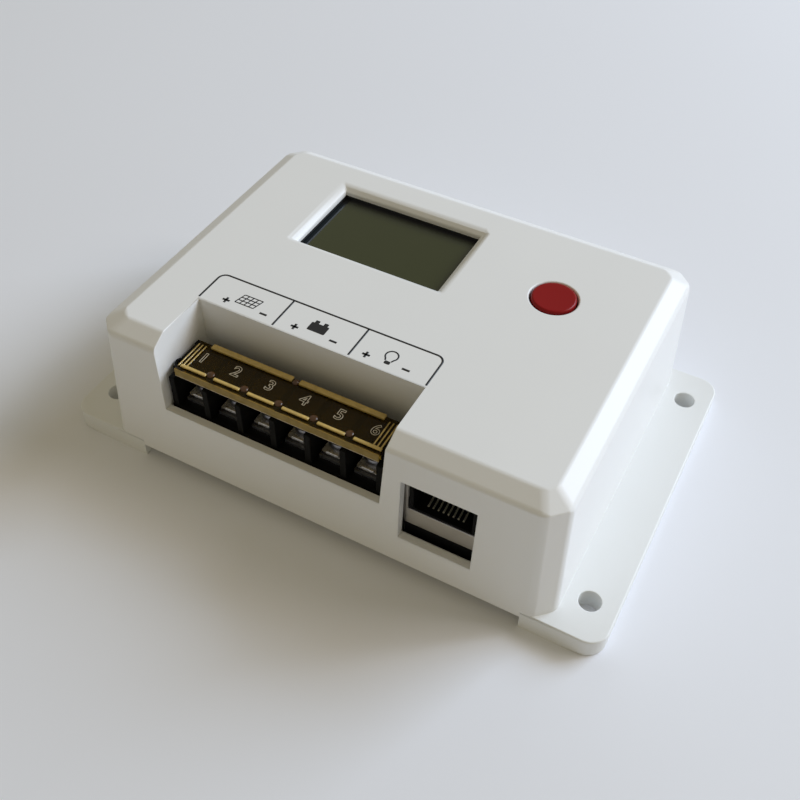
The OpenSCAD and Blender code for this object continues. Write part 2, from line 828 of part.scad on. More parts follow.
module shunt_resistors() {
    color([0.3, 0.3, 0.32]) for (place = shunt_places)
        post(place[0], place[1], 6.4, 3.2, board_top, board_top + 0.9);
}

// Flat body with its soldered tab behind it
module voltage_regulator() {
    body_d = 6;
    tab_d = 1.5;
    color([0.1, 0.1, 0.11]) translate([regulator_place[0], regulator_place[1], 0]) {
        post(0, 0, 6.6, body_d, board_top, board_top + 2.3);
        post(0, (body_d + tab_d) / 2 - skin, 5.4, tab_d, board_top, board_top + 0.8);
    }
}

// Flat chip with a row of legs on two sides
module chip(place, l, d, legs) {
    leg_pitch = solder_pitch / 2;
    leg_l = 0.8;
    translate([place[0], place[1], 0]) {
        color([0.08, 0.08, 0.08]) post(0, 0, l, d, board_top + fit, board_top + 1.7);
        color([0.75, 0.75, 0.72]) for (i = [0 : legs - 1], s = [-1, 1])
            post((i - (legs - 1) / 2) * leg_pitch, s * ((d + leg_l) / 2 - skin), 0.45, leg_l,
                board_top, board_top + 0.7);
    }
}

module microcontroller() {
    chip([window_x, window_y + 3], 12, 10, 9);
}

module small_chips() {
    for (place = small_chip_places) chip(place, 5, 4, 4);
}

// Flat can with round ends on two wires
module crystal() {
    can_r = 2.35;
    can_l = 6.8;
    wire_r = 0.25;
    wire_y = 2.4;
    z0 = board_top + loose;
    z1 = board_top + 3.6;
    color([0.75, 0.75, 0.76]) translate([crystal_place[0], crystal_place[1], 0]) {
        post(0, 0, 2 * can_r, can_l, z0, z1);
        for (s = [-1, 1]) {
            rod(0, s * can_l / 2, can_r, z0, z1);
            rod(0, s * wire_y, wire_r, board_top, z0 + skin);
        }
    }
}

module buzzer() {
    body_r = 4.5;
    body_h = 5.5;
    sound_hole_r = 0.8;
    color([0.06, 0.06, 0.06]) translate([buzzer_place[0], buzzer_place[1], 0]) difference() {
        rod(0, 0, body_r, board_top, board_top + body_h);
        rod(0, 0, sound_hole_r, board_top + 2, board_top + body_h + cut);
    }
}

// Dipped bead on two wires, just inside the right wall
module temperature_sensor() {
    bead_r = 1.4;
    bead_h = 4;
    wire_x = 0.6;
    wire_r = 0.25;
    color([0.3, 0.05, 0.05]) translate([sensor_place[0], sensor_place[1], board_top]) {
        translate([0, 0, bead_h]) sphere(r = bead_r);
        for (s = [-1, 1]) rod(s * wire_x, 0, wire_r, 0, bead_h - wire_x);
    }
}

top_cover();
base_plate();
case_screws();
heat_sink();
heat_sink_screws();
thermal_pads();
power_transistors();
transistor_screws();
main_board();
board_screws();
terminal_block();
terminal_contacts();
for (i = [1 : ways]) {
    terminal_clamp(i - 1);
    terminal_screw(i - 1);
}
terminal_cover();
socket_shield();
socket_housing();
socket_contacts();
display_gasket();
front_polariser();
display_glass();
rear_polariser();
light_guide();
display_holder();
display_pins();
button_cap();
switch_plunger();
switch_body();
switch_cover();
switch_dome();
capacitors();
inductor();
battery_fuse();
diodes();
shunt_resistors();
voltage_regulator();
microcontroller();
small_chips();
crystal();
buzzer();
temperature_sensor();
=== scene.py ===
"""Finishes, fine shapes and studio for a solar charge controller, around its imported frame.

Lengths are millimetres until a mesh is finished, and metres from there on. X runs to the right along
the terminal side, Y to the back and Z up from the plane that the feet stand on.
"""

import json
import logging
import math
from collections.abc import Callable, Mapping, Sequence
from dataclasses import dataclass, field
from enum import Enum
from functools import cache
from typing import Any

import bmesh
import bpy
from mathutils import Matrix, Vector
from mathutils.bvhtree import BVHTree


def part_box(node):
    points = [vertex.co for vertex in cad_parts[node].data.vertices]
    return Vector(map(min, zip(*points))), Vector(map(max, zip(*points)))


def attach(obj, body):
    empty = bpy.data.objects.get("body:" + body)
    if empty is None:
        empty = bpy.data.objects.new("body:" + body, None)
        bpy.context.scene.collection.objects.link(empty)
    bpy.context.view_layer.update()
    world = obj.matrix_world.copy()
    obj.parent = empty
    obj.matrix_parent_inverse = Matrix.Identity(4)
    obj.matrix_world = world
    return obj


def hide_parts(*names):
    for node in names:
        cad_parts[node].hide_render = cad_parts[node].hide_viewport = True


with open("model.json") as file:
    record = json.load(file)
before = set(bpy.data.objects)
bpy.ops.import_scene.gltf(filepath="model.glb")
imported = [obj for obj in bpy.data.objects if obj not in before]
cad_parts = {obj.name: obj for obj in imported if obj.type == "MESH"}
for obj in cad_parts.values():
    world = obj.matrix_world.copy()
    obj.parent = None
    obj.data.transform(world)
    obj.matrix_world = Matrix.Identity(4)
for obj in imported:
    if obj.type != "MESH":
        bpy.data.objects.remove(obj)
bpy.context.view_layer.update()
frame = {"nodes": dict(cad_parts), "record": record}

log = logging.getLogger("charge_controller")

MM = 0.001
WAYS = 6
CASE_BODY = "case"
INK = 0.03
TOUCH = 0.0001

Colour = tuple[float, float, float]
Point = tuple[float, float, float]
Flat = tuple[float, float]


class Slot(Enum):
    """Material slots of the record."""

    CASE = "case_plastic"
    BASE = "base_plastic"
    ZINC = "zinc_steel"
    ALUMINIUM = "aluminium"
    PAD = "pad"
    EPOXY = "black_epoxy"
    BOARD = "board"
    BLACK = "black_plastic"
    TINNED = "tinned_brass"
    AMBER = "amber_plastic"
    NICKEL = "nickel"
    GOLD = "gold"
    FOAM = "foam"
    FILM = "display_film"
    GLASS = "glass"
    GUIDE = "clear_guide"
    HOLDER = "holder_plastic"
    RED = "red_plastic"
    SLEEVE = "can_sleeve"
    FERRITE = "ferrite"
    FUSE = "fuse_plastic"
    SENSOR = "sensor_epoxy"


# --------------------------------------------------------------------------- node trees


class Signal:
    """A socket of a node tree. A number on it takes part in arithmetic by adding Math nodes."""

    def __init__(self, sheet: "NodeSheet", socket: bpy.types.NodeSocket) -> None:
        """Wraps an output socket of a sheet."""
        self.sheet = sheet
        self.socket = socket

    def _math(self, operation: str, first: "Number", second: "Number") -> "Signal":
        """The result of one Math node on two values."""
        return self.sheet.node("ShaderNodeMath", {"operation": operation}, {0: first, 1: second})

    def __add__(self, other: "Number") -> "Signal":
        """Sum."""
        return self._math("ADD", self, other)

    def __radd__(self, other: "Number") -> "Signal":
        """Reflected sum."""
        return self._math("ADD", other, self)

    def __sub__(self, other: "Number") -> "Signal":
        """Difference."""
        return self._math("SUBTRACT", self, other)

    def __rsub__(self, other: "Number") -> "Signal":
        """Reflected difference."""
        return self._math("SUBTRACT", other, self)

    def __mul__(self, other: "Number") -> "Signal":
        """Product."""
        return self._math("MULTIPLY", self, other)

    def __rmul__(self, other: "Number") -> "Signal":
        """Reflected product."""
        return self._math("MULTIPLY", other, self)

    def __gt__(self, other: "Number") -> "Signal":
        """1 where this is the greater, else 0."""
        return self._math("GREATER_THAN", self, other)

    def larger(self, other: "Number") -> "Signal":
        """The larger of two numbers."""
        return self._math("MAXIMUM", self, other)

    def power(self, exponent: float) -> "Signal":
        """This number raised to a power."""
        return self._math("POWER", self, exponent)


Number = Signal | float


class NodeSheet:
    """A node tree while it is drawn up."""

    def __init__(self, tree: bpy.types.NodeTree) -> None:
        """Takes over an empty tree."""
        self.tree = tree

    def node(
        self,
        kind: str,
        settings: Mapping[str, Any] | None = None,
        sockets: Mapping[str | int, Any] | None = None,
        output: str | int = 0,
    ) -> Signal:
        """Adds one node.

        Args:
            kind: The node's type.
            settings: Its properties.
            sockets: A value or a Signal for each input socket, by name or index.
            output: The output socket that the caller wants.

        Returns:
            The wanted output.
        """
        node = self.tree.nodes.new(kind)
        for key, value in (settings or {}).items():
            setattr(node, key, value)
        for key, value in (sockets or {}).items():
            if isinstance(value, Signal):
                self.tree.links.new(value.socket, node.inputs[key])
            else:
                node.inputs[key].default_value = value
        return Signal(self, node.outputs[output])


class ShaderSheet(NodeSheet):
    """A material's or a world's node tree while it is drawn up."""

    def __init__(self, name: str, world: bool = False) -> None:
        """Starts an empty material or world.

        Args:
            name: Its name.
            world: Whether it is a world.
        """
        self.material = (bpy.data.worlds if world else bpy.data.materials).new(name)
        self.end_kind = "ShaderNodeOutputWorld" if world else "ShaderNodeOutputMaterial"
        self.material.use_nodes = True
        super().__init__(self.material.node_tree)
        self.tree.nodes.clear()

    def place(self, stretch: Point = (1.0, 1.0, 1.0)) -> Signal:
        """The point of the surface in millimetres.

        Args:
            stretch: How much a pattern on it is drawn together along each axis.

        Returns:
            A vector signal.
        """
        point = self.node("ShaderNodeTexCoord", output="Object")
        scale = tuple(s / MM for s in stretch)
        return self.node("ShaderNodeMapping", {"vector_type": "POINT"}, {"Vector": point, "Scale": scale})

    def axis(self, index: int) -> Signal:
        """The surface point's X, Y or Z (0, 1 or 2) in millimetres."""
        return self.node("ShaderNodeSeparateXYZ", {}, {"Vector": self.place()}, index)

    def noise(self, size: float, detail: float = 2.0, stretch: Point = (1.0, 1.0, 1.0)) -> Signal:
        """Smooth noise from 0 to 1, with lumps of a size in millimetres and some finer layers."""
        sockets = {"Vector": self.place(stretch), "Scale": 1.0 / size, "Detail": detail}
        return self.node("ShaderNodeTexNoise", {"noise_dimensions": "3D"}, sockets, "Fac")

    def blend(self, amount: Number, low: Colour | Signal, high: Colour | Signal) -> Signal:
        """Mixes two colours.

        Args:
            amount: 0 for the low colour and 1 for the high one.
            low: The first colour.
            high: The second colour.

        Returns:
            The mixed colour.
        """
        ends = [c if isinstance(c, Signal) else (*c, 1.0) for c in (low, high)]
        settings = {"data_type": "RGBA", "clamp_factor": True}
        return self.node("ShaderNodeMix", settings, {0: amount, 6: ends[0], 7: ends[1]}, 2)

    def bump(self, height: Signal, depth: float) -> Signal:
        """A normal that is tilted by a height from 0 to 1, where 1 stands for a depth in millimetres."""
        return self.node("ShaderNodeBump", {}, {"Height": height, "Distance": depth * MM}, "Normal")

    def principled(self, sockets: Mapping[str, Any]) -> Signal:
        """A Principled shader with a value or a Signal for each of its sockets."""
        return self.node("ShaderNodeBsdfPrincipled", {}, sockets)

    def between(self, amount: Signal, low: Signal, high: Signal) -> Signal:
        """A mix of two shaders, the low one where the amount is 0."""
        return self.node("ShaderNodeMixShader", {}, {0: amount, 1: low, 2: high})

    def clamped(self, value: Signal) -> Signal:
        """A number held between 0 and 1."""
        return self.node("ShaderNodeClamp", {}, {"Value": value})

    def looked_at(self) -> Signal:
        """Tells the rays that show the scene from the light that falls on it.

        Returns:
            1 for rays from the camera, off gloss or through clear plastic, and 0 for others.
        """
        kinds = ("Camera", "Glossy", "Transmission")
        seen, glossy, clear = (self.node("ShaderNodeLightPath", output=f"Is {kind} Ray") for kind in kinds)
        return seen.larger(glossy).larger(clear)

    def ended(self, shader: Signal) -> Any:
        """Joins a shader to the sheet's output.

        Args:
            shader: The shader.

        Returns:
            The finished material or world.
        """
        end = self.tree.nodes.new(self.end_kind)
        self.tree.links.new(shader.socket, end.inputs["Surface"])
        return self.material


def darker(colour: Colour, share: float) -> Colour:
    """A colour scaled by a share."""
    return tuple(c * share for c in colour)


# --------------------------------------------------------------------------- finishes


@dataclass(frozen=True)
class MouldedPlastic:
    """Moulded plastic with a fine eroded grain and faint flow clouds."""

    name: str
    colour: Colour
    roughness: float = 0.42
    grain: float = 0.22
    grain_depth: float = 0.004
    cloud: float = 22.0
    cloud_share: float = 0.965
    gloss: float = 0.5
    polish: float = 0.06
    cloud_rough: float = 0.08
    grain_rough: float = 0.04

    def make(self) -> bpy.types.Material:
        """Draws up the material.

        Returns:
            The finished material.
        """
        sheet = ShaderSheet(self.name)
        clouds = sheet.noise(self.cloud, 3.0)
        grain = sheet.noise(self.grain, 1.0)
        colour = sheet.blend(clouds, darker(self.colour, self.cloud_share), self.colour)
        rough = self.roughness - self.polish + self.cloud_rough * clouds + self.grain_rough * grain
        sockets = {
            "Base Color": colour,
            "Roughness": rough,
            "Specular IOR Level": self.gloss,
            "Normal": sheet.bump(grain, self.grain_depth),
        }
        return sheet.ended(sheet.principled(sockets))


@dataclass(frozen=True)
class PlatedMetal:
    """Plated or bare metal with fine drawn lines and dull clouds."""

    name: str
    colour: Colour
    roughness: float = 0.28
    lines: Point = (0.12, 1.0, 1.0)
    line_width: float = 0.12
    line_depth: float = 0.002
    cloud: float = 3.0
    dull: float = 0.8
    polish: float = 0.08
    line_rough: float = 0.16
    cloud_rough: float = 0.08

    def make(self) -> bpy.types.Material:
        """Draws up the material.

        Returns:
            The finished material.
        """
        sheet = ShaderSheet(self.name)
        clouds = sheet.noise(self.cloud, 3.0)
        lines = sheet.noise(self.line_width, 2.0, self.lines)
        sockets = {
            "Base Color": sheet.blend(clouds, darker(self.colour, self.dull), self.colour),
            "Metallic": 1.0,
            "Roughness": self.roughness - self.polish + self.line_rough * lines + self.cloud_rough * clouds,
            "Normal": sheet.bump(lines, self.line_depth),
        }
        return sheet.ended(sheet.principled(sockets))


@dataclass(frozen=True)
class TarnishedMetal:
    """Plated metal that is painted bright and less metallic above a level, as a painted highlight, and dull
    brown below it, as painted shade.
    """

    name: str
    bright: Colour
    dull: Colour
    level: float
    roughness: float = 0.3
    cloud: float = 0.8
    cloud_depth: float = 0.01
    cloud_rough: float = 0.15
    edge_drift: float = 0.2
    polish: float = 0.1
    rubbed_loss: float = 0.45

    def make(self) -> bpy.types.Material:
        """Draws up the material.

        Returns:
            The finished material.
        """
        sheet = ShaderSheet(self.name)
        clouds = sheet.noise(self.cloud, 3.0)
        # Painted light: a painted highlight above the level and painted shade below it.
        lit_above_level = sheet.axis(2) > self.level + self.edge_drift * clouds
        sockets = {
            "Base Color": sheet.blend(lit_above_level, self.dull, self.bright),
            "Metallic": 1.0 - self.rubbed_loss * lit_above_level,
            "Roughness": self.roughness + self.cloud_rough * clouds - self.polish * lit_above_level,
            "Normal": sheet.bump(clouds, self.cloud_depth),
        }
        return sheet.ended(sheet.principled(sockets))


@dataclass(frozen=True)
class AmberPlastic:
    """Clear amber plastic that is dark over its flat plate, with a painted glow where its ribs and lips
    catch light.

    The ribs stand above plate_top and carry a painted glow, dimmer behind ridge_y. The lip lies in front of
    lip_y and carries a fainter painted glow, and its foot below lip_z a pale painted highlight.
    """

    name: str
    tint: Colour
    glow: Colour
    pale: Colour
    plate_top: float
    lip_y: float
    lip_z: float
    ridge_y: float
    roughness: float = 0.08
    index: float = 1.45
    plate_index: float = 1.18
    plate_clear: float = 0.935
    lit_clear: float = 0.12
    wave: float = 1.6
    wave_depth: float = 0.02
    haze: float = 5.0
    haze_rough: float = 0.1
    haze_share: float = 0.6
    streak: float = 1.4
    streak_share: float = 0.5
    rib_glow: float = 0.95
    ridge_loss: float = 0.32
    lip_glow: float = 0.45
    foot_glow: float = 0.3

    def make(self) -> bpy.types.Material:
        """Draws up the material.

        Returns:
            The finished material.
        """
        sheet = ShaderSheet(self.name)
        haze = sheet.noise(self.haze, 3.0)
        common = {
            "Roughness": self.roughness + self.haze_rough * haze.power(3.0),
            "Normal": sheet.bump(sheet.noise(self.wave, 2.0), self.wave_depth),
        }
        dark = sheet.blend(haze, darker(self.tint, self.haze_share), self.tint)
        plate = {"Base Color": dark, "Transmission Weight": self.plate_clear, "IOR": self.plate_index}
        # Painted light: a lit gold copy of the amber, with streaks in its painted glow and a pale painted
        # highlight on the lip's foot.
        gold = sheet.blend(sheet.noise(self.streak, 2.0), darker(self.glow, self.streak_share), self.glow)
        foot = self.lip_z - sheet.axis(2) > 0.0
        bright = sheet.blend(foot, gold, self.pale)
        lit = {"Base Color": bright, "Transmission Weight": self.lit_clear, "IOR": self.index}
        # Mask of the painted glow: ribs above the plate, dimmer behind the ridge, and the lip.
        raised = sheet.axis(2) > self.plate_top
        lip = self.lip_y - sheet.axis(1) > 0.0
        ribs = raised * (self.rib_glow - self.ridge_loss * (sheet.axis(1) > self.ridge_y))
        edge = ribs.larger(lip * (self.lip_glow + self.foot_glow * foot))
        return sheet.ended(sheet.between(edge, *(sheet.principled(common | part) for part in (plate, lit))))


@dataclass(frozen=True)
class DisplayFilm:
    """Polarising film over the liquid crystal, with a faint sheen that changes over its face.

    From shade_y on towards the back, over shade_d, it turns into painted shade: the shadow of the window's
    edge and the reflection of its dark gasket, painted as a near-black matte surface.
    """

    name: str
    colour: Colour
    roughness: float = 0.12
    drift: float = 18.0
    drift_share: float = 0.9
    drift_rough: float = 0.05
    matt: float = 0.08
    matt_depth: float = 0.0006
    matt_rough: float = 0.03
    gasket: Colour = (0.002, 0.002, 0.002)
    gasket_rough: float = 0.9
    gasket_polish: float = 0.1
    shade_y: float = 20.8
    shade_d: float = 3.6
    shade_power: float = 1.6

    def make(self) -> bpy.types.Material:
        """Draws up the material.

        Returns:
            The finished material.
        """
        sheet = ShaderSheet(self.name)
        drift = sheet.noise(self.drift, 2.0)
        matt = sheet.noise(self.matt, 1.0)
        film = sheet.principled(
            {
                "Base Color": sheet.blend(drift, darker(self.colour, self.drift_share), self.colour),
                "Roughness": self.roughness + self.drift_rough * drift + self.matt_rough * matt,
                "Normal": sheet.bump(matt, self.matt_depth),
            }
        )
        # Painted shade towards the window's back edge: a near-black matte surface blended over the film.
        rough = self.gasket_rough - self.gasket_polish * matt
        gasket = sheet.principled({"Base Color": (*self.gasket, 1.0), "Roughness": rough})
        depth = (sheet.axis(1) - self.shade_y) * (1.0 / self.shade_d)
        return sheet.ended(sheet.between(sheet.clamped(depth).power(self.shade_power), film, gasket))


@dataclass(frozen=True)
class SolderMask:
    """Green lacquer on a circuit board, with tracks that show through as paler lines."""

    name: str
    colour: Colour
    track: Colour
    cells_per_mm: float = 0.22
    track_width: float = 0.09
    track_depth: float = 0.03
    roughness: float = 0.26
    cloud: float = 9.0
    cloud_share: float = 0.85
    cloud_rough: float = 0.1

    def make(self) -> bpy.types.Material:
        """Draws up the material.

        Returns:
            The finished material.
        """
        sheet = ShaderSheet(self.name)
        settings = {"feature": "DISTANCE_TO_EDGE"}
        grid = {"Vector": sheet.place(), "Scale": self.cells_per_mm}
        tracks = 1.0 - (sheet.node("ShaderNodeTexVoronoi", settings, grid) > self.track_width)
        clouds = sheet.noise(self.cloud)
        base = sheet.blend(clouds, darker(self.colour, self.cloud_share), self.colour)
        sockets = {
            "Base Color": sheet.blend(tracks, base, self.track),
            "Roughness": self.roughness + self.cloud_rough * clouds,
            "Normal": sheet.bump(tracks, self.track_depth),
        }
        return sheet.ended(sheet.principled(sockets))


# The painted glow and the pale highlight are painted light on the ribs and the lip.
AMBER = AmberPlastic(
    "amber_polycarbonate",
    tint=(0.31, 0.19, 0.024),
    glow=(0.99, 0.71, 0.23),
    pale=(0.95, 0.81, 0.62),
    plate_top=27.12,
    lip_y=-33.8,
    lip_z=25.25,
    ridge_y=-28.0,
)
BLACK_PBT = MouldedPlastic(
    "black_pbt", (0.005, 0.005, 0.005), roughness=0.45, grain_depth=0.006, gloss=0.07
)
GASKET = MouldedPlastic(
    "gasket_foam", (0.012, 0.012, 0.012), roughness=0.9, grain=0.4, grain_depth=0.05
)
RED_ABS = MouldedPlastic(
    "red_abs", (0.28, 0.008, 0.009), roughness=0.34, grain=0.3, cloud_share=0.9, gloss=0.18
)
FINISHES = {
    Slot.CASE: MouldedPlastic("white_abs", (0.88, 0.88, 0.87)),
    Slot.BASE: MouldedPlastic("white_abs_base", (0.85, 0.86, 0.85)),
    Slot.ZINC: PlatedMetal("zinc_plate", (0.62, 0.63, 0.66)),
    Slot.ALUMINIUM: PlatedMetal("mill_aluminium", (0.70, 0.71, 0.73), roughness=0.38, line_width=0.2),
    Slot.PAD: MouldedPlastic("thermal_pad", (0.50, 0.56, 0.60), roughness=0.8),
    Slot.EPOXY: MouldedPlastic("black_epoxy", (0.018, 0.018, 0.02), roughness=0.5, grain_depth=0.01),
    Slot.BOARD: SolderMask("solder_mask", (0.015, 0.10, 0.045), (0.03, 0.19, 0.08)),
    Slot.BLACK: BLACK_PBT,
    Slot.TINNED: PlatedMetal("tin_plate", (0.74, 0.73, 0.70), roughness=0.3),
    Slot.AMBER: AMBER,
    Slot.NICKEL: PlatedMetal("nickel_plate", (0.60, 0.57, 0.53), roughness=0.3),
    Slot.GOLD: PlatedMetal("gold_flash", (0.92, 0.84, 0.66), roughness=0.42),
    Slot.FOAM: GASKET,
    Slot.FILM: DisplayFilm("display_film", (0.038, 0.043, 0.012)),
    Slot.GLASS: DisplayFilm("cell_glass", (0.016, 0.021, 0.023), roughness=0.05),
    Slot.GUIDE: MouldedPlastic("milky_acrylic", (0.82, 0.84, 0.86), roughness=0.3),
    Slot.HOLDER: MouldedPlastic("natural_plastic", (0.74, 0.73, 0.69)),
    Slot.RED: RED_ABS,
    Slot.SLEEVE: MouldedPlastic("shrink_sleeve", (0.02, 0.025, 0.06), roughness=0.3),
    Slot.FERRITE: MouldedPlastic("ferrite", (0.05, 0.045, 0.042), roughness=0.55, grain_depth=0.02),
    Slot.FUSE: MouldedPlastic("fuse_plastic", (0.62, 0.30, 0.03), roughness=0.25),
    Slot.SENSOR: MouldedPlastic("sensor_epoxy", (0.12, 0.01, 0.01), roughness=0.3),
}
# The saddles' ears carry a painted highlight, and their plates carry painted shade under the strip.
SADDLE = TarnishedMetal(
    "saddle_painted_light", bright=(0.80, 0.80, 0.82), dull=(0.045, 0.042, 0.038), level=18.75
)
# Screw zinc painted darker than the other plating: painted shade under the amber strip.
SCREW = PlatedMetal("zinc_painted_shade", (0.34, 0.34, 0.37), roughness=0.32)
MARK_INK = MouldedPlastic("mark_ink", (0.010, 0.010, 0.011), roughness=0.5, grain_depth=0.002)
STUD = MouldedPlastic("molten_amber", (0.11, 0.045, 0.012), roughness=0.16, cloud=0.9, cloud_share=0.3)
# Digits painted pale: a painted highlight where their raised outlines catch the light.
DIGIT_HIGHLIGHT = MouldedPlastic("amber_painted_highlight", (0.62, 0.55, 0.42), roughness=0.35, grain_depth=0.01)


class Finishes:
    """Every material of the object, each made once when it is first asked for."""

    _made: dict[str, bpy.types.Material] = {}

    @classmethod
    def of(cls, finish: Any) -> bpy.types.Material:
        """The material of a finish.

        Args:
            finish: A finish, or the Slot that has one.

        Returns:
            The material.
        """
        recipe = FINISHES[finish] if isinstance(finish, Slot) else finish
        if recipe.name not in cls._made:
            cls._made[recipe.name] = recipe.make()
        return cls._made[recipe.name]


# --------------------------------------------------------------------------- places and meshes

# Of a copied node: points nearer than MERGE are one, edges shorter than SPECK vanish, and faces that meet
# at less than FLAT_BEND are one. An edge is rounded from ROUND_BEND on and creased from CREASE_BEND on.
MERGE = 0.025
SPECK = 0.005
FLAT_BEND = math.radians(1.5)
ROUND_BEND = math.radians(20)
CREASE_BEND = math.radians(30)
EDGE_BEND = math.radians(35)


@dataclass(frozen=True)
class Box:
    """Lowest and highest corner of something, in millimetres."""

    low: Vector
    high: Vector

    @classmethod
    @cache
    def of(cls, node: str) -> "Box":
        """The box of a node of the frame, measured once."""
        low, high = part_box(node)
        return cls(low / MM, high / MM)

    @property
    def middle(self) -> Vector:
        """The box's middle."""
        return (self.low + self.high) / 2

    @property
    def size(self) -> Vector:
        """The box's three sizes."""
        return self.high - self.low


def in_scene(name: str, data: Any) -> bpy.types.Object:
    """Makes an object of a mesh, a text, a lamp or a camera.

    Args:
        name: The object's name.
        data: What it is made of.

    Returns:
        The object, which is in the scene.
    """
    obj = bpy.data.objects.new(name, data)
    bpy.context.scene.collection.objects.link(obj)
    return obj


def linked(name: str, mesh: bpy.types.Mesh, finish: Any) -> bpy.types.Object:
    """Puts a mesh in the scene as an object with one material.

    Args:
        name: The object's name.
        mesh: Its mesh, in metres.
        finish: Its finish or Slot.

    Returns:
        The object.
    """
    mesh.materials.clear()
    mesh.materials.append(Finishes.of(finish))
    return in_scene(name, mesh)


def evaluated(obj: bpy.types.Object) -> bpy.types.Mesh:
    """A plain mesh of an object as its modifiers leave it."""
    graph = bpy.context.evaluated_depsgraph_get()
    return bpy.data.meshes.new_from_object(obj.evaluated_get(graph), depsgraph=graph)


def settled(obj: bpy.types.Object) -> bpy.types.Object:
    """Turns an object's modifiers into plain mesh.

    Args:
        obj: The object.

    Returns:
        The same object.
    """
    mesh = evaluated(obj)
    obj.modifiers.clear()
    obj.data = mesh
    return obj


def smoothed(obj: bpy.types.Object, angle: float = 32.0) -> bpy.types.Object:
    """Shades an object smooth, with a crease where faces meet at more than an angle.

    Args:
        obj: The object.
        angle: The angle, in degrees.

    Returns:
        The same object.
    """
    obj.data.shade_smooth()
    obj.data.set_sharp_from_angle(angle=math.radians(angle))
    return obj


def softened(
    obj: bpy.types.Object, radius: float, segments: int = 3, weighted: bool = False
) -> bpy.types.Object:
    """Rounds an object's edges.

    Args:
        obj: The object.
        radius: The rounding's width in millimetres, on the heaviest edge if it is weighted.
        segments: Faces across the rounding.
        weighted: Whether the mesh's own edge weights choose the edges.

    Returns:
        The same object, as a plain mesh.
    """
    bevel = obj.modifiers.new("edges", "BEVEL")
    bevel.width = radius * MM
    bevel.segments = segments
    bevel.limit_method = "WEIGHT" if weighted else "ANGLE"
    bevel.angle_limit = EDGE_BEND
    bevel.use_clamp_overlap = not weighted
    bevel.miter_outer = "MITER_SHARP" if weighted else "MITER_ARC"
    bevel.harden_normals = True
    obj.data.shade_smooth()
    return settled(obj)


class Form:
    """A mesh that is put together in millimetres from closed shapes."""

    def __init__(self) -> None:
        """Starts empty."""
        self.mesh = bmesh.new()

    def prism(self, outline: Sequence[Flat], low: float, high: float, axis: int = 2) -> "Form":
        """Adds a straight prism.

        Args:
            outline: Its outline, anticlockwise seen from the far end of the axis.
            low: Where it starts along the axis.
            high: Where it ends.
            axis: 0, 1 or 2 for X, Y or Z. The outline's pair then stands for YZ, ZX or XY.

        Returns:
            This form.
        """

        def corner(pair: Flat, along: float) -> Vector:
            """A corner of the prism.

            Args:
                pair: Its point of the outline.
                along: Its place along the axis.

            Returns:
                The corner.
            """
            values = [0.0, 0.0, 0.0]
            values[axis] = along
            values[(axis + 1) % 3] = pair[0]
            values[(axis + 2) % 3] = pair[1]
            return Vector(values)

        bottom = [self.mesh.verts.new(corner(p, low)) for p in outline]
        top = [self.mesh.verts.new(corner(p, high)) for p in outline]
        self.mesh.faces.new(list(reversed(bottom)))
        self.mesh.faces.new(top)
        count = len(outline)
        for i in range(count):
            j = (i + 1) % count
            self.mesh.faces.new((bottom[i], bottom[j], top[j], top[i]))
        return self

    def block(self, low: Sequence[float], high: Sequence[float]) -> "Form":
        """Adds a box between its lowest and its highest corner, and returns this form."""
        outline = [(low[0], low[1]), (high[0], low[1]), (high[0], high[1]), (low[0], high[1])]
        return self.prism(outline, low[2], high[2])

    def lathe(self, profile: Sequence[Flat], centre: Flat, steps: int = 96) -> "Form":
        """Adds a turned shape about an upright axis.

        Args:
            profile: (radius, height) points, closed on the axis at both ends, from low to high.
            centre: The axis's place.
            steps: Faces round it.

        Returns:
            This form.
        """
        rings: list[list[bmesh.types.BMVert]] = []
        for radius, height in profile:
            turns = [2 * math.pi * k / steps for k in range(steps if radius else 1)]
            spots = [(centre[0] + radius * math.cos(a), centre[1] + radius * math.sin(a)) for a in turns]
            rings.append([self.mesh.verts.new((*spot, height)) for spot in spots])
        for lower, upper in zip(rings, rings[1:]):
            for k in range(steps):
                j = k + 1
                around = ((lower, k), (lower, j), (upper, j), (upper, k))
                unique = list(dict.fromkeys(ring[i % len(ring)] for ring, i in around))
                if len(unique) > 2:
                    self.mesh.faces.new(unique)
        return self

    def object(self, name: str, finish: Any) -> bpy.types.Object:
        """Ends the form as an object in metres.

        Args:
            name: The object's name.
            finish: Its finish or Slot.

        Returns:
            The object.
        """
        bmesh.ops.scale(self.mesh, vec=(MM, MM, MM), verts=self.mesh.verts)
        bmesh.ops.recalc_face_normals(self.mesh, faces=self.mesh.faces)
        data = bpy.data.meshes.new(name)
        self.mesh.to_mesh(data)
        self.mesh.free()
        return linked(name, data, finish)


def arc(centre: Flat, radius: float, start: float, end: float, steps: int) -> list[Flat]:
    """Points along an arc from one angle to another in degrees, both ends among them."""
    angles = [math.radians(start + (end - start) * k / steps) for k in range(steps + 1)]
    return [(centre[0] + radius * math.cos(a), centre[1] + radius * math.sin(a)) for a in angles]


def round_box(low: Flat, high: Flat, radius: float, steps: int = 6) -> list[Flat]:
    """Outline of a box with round corners, anticlockwise.

    Args:
        low: Its low corner.
        high: Its high corner.
        radius: The corners' radius.
        steps: Stretches in each corner.

    Returns:
        The outline.
    """
    x0, y0, x1, y1 = low[0] + radius, low[1] + radius, high[0] - radius, high[1] - radius
    corners = [((x1, y0), -90), ((x1, y1), 0), ((x0, y1), 90), ((x0, y0), 180)]
    return [p for centre, turn in corners for p in arc(centre, radius, turn, turn + 90, steps)]


def ray_fan(count: int = 72) -> list[Vector]:
    """Directions spread evenly over a sphere.

    Args:
        count: How many.

    Returns:
        The directions, each of length 1.
    """
    golden = math.pi * (3 - math.sqrt(5))
    fan = []
    for k in range(count):
        z = 1 - 2 * (k + 0.5) / count
        ring = math.sqrt(1 - z * z)
        fan.append(Vector((ring * math.cos(golden * k), ring * math.sin(golden * k), z)))
    return fan


